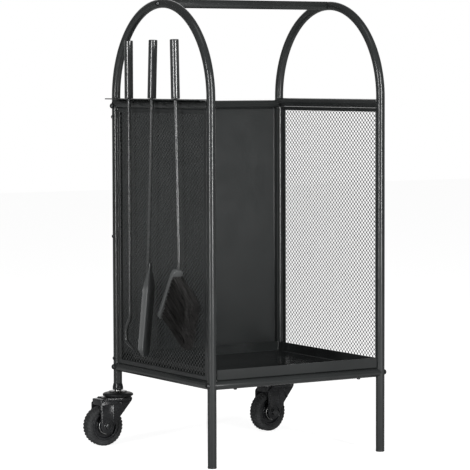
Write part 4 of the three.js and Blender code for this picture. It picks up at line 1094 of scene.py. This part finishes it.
def fork_rib(hand, top):
    """A raised rib whose face is hollow across, as a parabola, and which ends below in an arch
    round the axle. One closed ring stands at each step across it."""
    ease = 1.0 * MM
    share = np.concatenate([[-1, -0.975, -0.93], np.linspace(-0.86, 0.86, 25), [0.93, 0.975, 1]])
    drop = ease * np.interp(np.abs(share), [0.93, 0.975, 1], [0, 0.3, 1])
    u = RIB_HALF * share
    x = u - TRAIL
    low = WHEEL + np.sqrt(np.maximum(ARCH_ROUND_AXLE**2 - u**2, 0))
    face = FORK_OUTER + RIB_HEIGHT - RIB_DISH * (1 - share**2) - drop
    back = np.full(len(u), FORK_INNER + 1 * MM)
    top = np.full(len(u), top)
    ring = [(low, back), (low, face - ease), (low + 0.3 * ease, face - 0.3 * ease), (low + ease, face)]
    ring += [(top - ease, face), (top - 0.3 * ease, face - 0.3 * ease), (top, face - ease), (top, back)]
    grid = np.stack([np.stack([x, hand * w, v], -1) for v, w in ring], 1)
    return skin(grid)


def fork_crease(hand, top):
    """The curved fold in front of the rib: a round ridge that thins out at both ends."""
    t = np.linspace(0, 1, 18)
    x = -4 * MM + 6.6 * MM * t**1.8
    z = top - 1 * MM - 20 * MM * t
    y = np.full(len(t), FORK_OUTER - 1.2 * MM)
    radius = 3.0 * MM * np.sqrt(np.clip(1 - (2 * t - 1) ** 6, 0.02, 1))
    path = np.column_stack([x, y, z])
    shell = sweep(path, circle(20) * radius[:, None, None], AXIS_Y)
    return skin(shell * (1, hand, 1))


def axle():
    """Bolt head on the outer side and lock nut on the inner one, both hexagonal, on washers."""
    seat = FORK_OUTER + 0.1 * MM
    washer = rounded(mm((3, 0), (8.2, 0), (8.2, 1), (3, 1)), 0.35 * MM, 3)
    head = rounded(mm((1, 0.9), (5.6, 0.9), (5.6, 4.2), (1, 4.6)), mm(0, 0.2, 0.9, 0), 4, closed=False)
    shells = []
    for hand in (-1, 1):
        centre = (-TRAIL, hand * seat, WHEEL)
        shells.append(skin(turned(washer, centre, (0, hand, 0)), along=True))
        shells.append(skin(turned(head, centre, (0, hand, 0), 48, hexagon)))
    reach = seat + 0.5 * MM
    pin = [(1 * MM, -reach), (4 * MM, -reach), (4 * MM, reach), (1 * MM, reach)]
    return shells + [skin(turned(pin, AXLE, AXIS_Y))]


def hub():
    """A moulded centre as one closed profile: bore, boss, dished web, and a rim that ends just
    inside the tyre's bore."""
    boss = mm((4.3, 0), (8, 0), (9, -3), (14, -3.2)) + (0, HUB_HALF)
    web = mm((15.2, 6), (21.5, 6), (22.5, 11))
    right = np.concatenate([boss, web, [(TYRE_BORE - 0.1 * MM, 11 * MM)]])
    profile = rounded(np.concatenate([right, right[::-1] * (1, -1)]), 0.8 * MM, 3)
    return skin(turned(profile, AXLE, AXIS_Y, 64), along=True)


def hub_ring():
    """The bright ring pressed round the boss on both faces."""
    profile = rounded(mm((13.4, 12), (15, 12), (15, 13.4), (13.4, 13.4)), 0.5 * MM, 4)
    return [skin(turned(profile, AXLE, (0, hand, 0), 64), along=True) for hand in (-1, 1)]


def tyre():
    """A revolved section whose tread is cut into staggered blocks. The cut is a smooth step of
    the angle, skewed with the distance from the middle of the tread, and fades on the shoulders."""
    relief = mm((0, 2.5), (1, 0.9), (1.8, 0.2), (2.6, 0.2), (3, 1.1), (3.6, 1.1), (4, 0.1))
    relief = np.concatenate([relief, mm((5.4, -0.2), (5.9, 0.5))])
    bend = np.linspace(0, np.pi / 2, 9)
    shoulder = mm(4.2, 6.5) * np.column_stack([np.sin(bend), 1 - np.cos(bend)])
    shoulder += (WHEEL - 4.2 * MM, -TYRE_HALF + 0.4 * MM)
    tread_edge = [(WHEEL, -4.5 * MM), (WHEEL, -3 * MM), (WHEEL, -1.2 * MM)]
    half = np.concatenate([relief + (TYRE_BORE, -TYRE_HALF), shoulder, tread_edge])
    section = np.concatenate([half, half[::-1] * (1, -1)])

    def tread(radii, turn):
        width = section[:, 1:] / TYRE_HALF
        wave = np.sin(TREAD_BLOCKS * turn + np.pi * (width > 0) + 5.5 * np.abs(width))
        block = 1 / (1 + np.exp(-9 * wave))
        edge = smooth((radii - (WHEEL - 4.4 * MM)) / (1.6 * MM))
        return radii - TREAD_DEPTH * edge * (1 - block)

    return skin(turned(section, AXLE, AXIS_Y, 272, tread), along=True)


PEDAL_PIN = (-12 * MM, 79 * MM)
PEDAL_HALF = 16 * MM
PEDAL_STEP = -33.5 * MM  # where the block begins, behind the crown
PEDAL_END = -46 * MM
PEDAL_CLEAR = 3.5 * MM  # above the tyre


def brake_pedal():
    """A block across the fork behind the crown, with an arm under the crown that ends at the pin.
    Its underside is an arc round the axle, clear of the tyre."""
    x, z = PEDAL_PIN
    under = np.linspace(PEDAL_END + 1 * MM, x - 8 * MM, 14)
    arc = np.column_stack([under, WHEEL + np.sqrt((WHEEL + PEDAL_CLEAR) ** 2 - (under + TRAIL) ** 2)])
    arm, top = z + 4 * MM, z + 9 * MM
    nose = [(x + 4 * MM, z - 2.5 * MM), (x + 4 * MM, z + 2.5 * MM), (x, arm)]
    block = [(PEDAL_STEP, arm), (PEDAL_STEP, top), (PEDAL_END, top), (PEDAL_END, arc[0, 1])]
    outline = np.concatenate([arc, rounded(nose + block, mm(1, 1, 1, 0.6, 1.6, 2, 0.8), 4, closed=False)])
    body = plate(outline, -PEDAL_HALF, PEDAL_HALF, lambda u, v, w: (u, w, v), 1.2 * MM)
    pin = mm((0.5, -1), (2.5, -1), (2.5, 1), (0.5, 1)) * (1, FORK_INNER / MM)
    return [body, skin(turned(pin, (x, 0, z), AXIS_Y, 24))]


def casters():
    for side in SIDES:
        caster = Caster(side)
        swivel, wheel = f"{side}_caster", f"{side}_wheel"
        caster.add("socket_cap", "cart", CASTER_PLASTIC, [socket_cap(caster)], "caster_socket")
        caster.add("stem_and_collar", "cart", BRIGHT_STEEL, [stem(caster)], "caster_stem")
        caster.add("stem_washer", "cart", WASHER_STEEL, [washer(caster)])
        caster.add("raceway_cover", "cart", CASTER_STEEL, [swivel_plate(caster)], "swivel_plate")
        caster.add("fork_yoke", swivel, CASTER_PLASTIC, fork(caster), "caster_fork")
        caster.add("axle_bolt", swivel, BLACK_STEEL, axle(), "caster_axle")
        caster.add("hub_centre", wheel, CASTER_PLASTIC, [hub()], "wheel_hub")
        caster.add("hub_ring", wheel, RING_STEEL, hub_ring())
        caster.add("tread_tyre", wheel, TYRE_RUBBER, [tyre()], "tyre")
        caster.add("pedal_block", f"{side}_brake", CASTER_PLASTIC, brake_pedal(), "brake_pedal")


# ---------- the scene ----------

bpy.context.scene.view_settings.view_transform = "Standard"
add_camera()
add_lamps()
add_world()
add_floor()
tube_frame()
for side in SIDES:
    piece(f"{side}_foot_cap", "cart", CAP_PLASTIC, [front_foot(side)], [f"{side}_front_foot"])
    mesh_side(side)
bolts_and_screws()
piece("back_sheet", "cart", SHEET_COAT, [back_sheet()], ["back_panel"])
piece("folded_tray", "cart", TRAY_COAT, tray(), ["log_tray"])
hearth_tools()
casters()
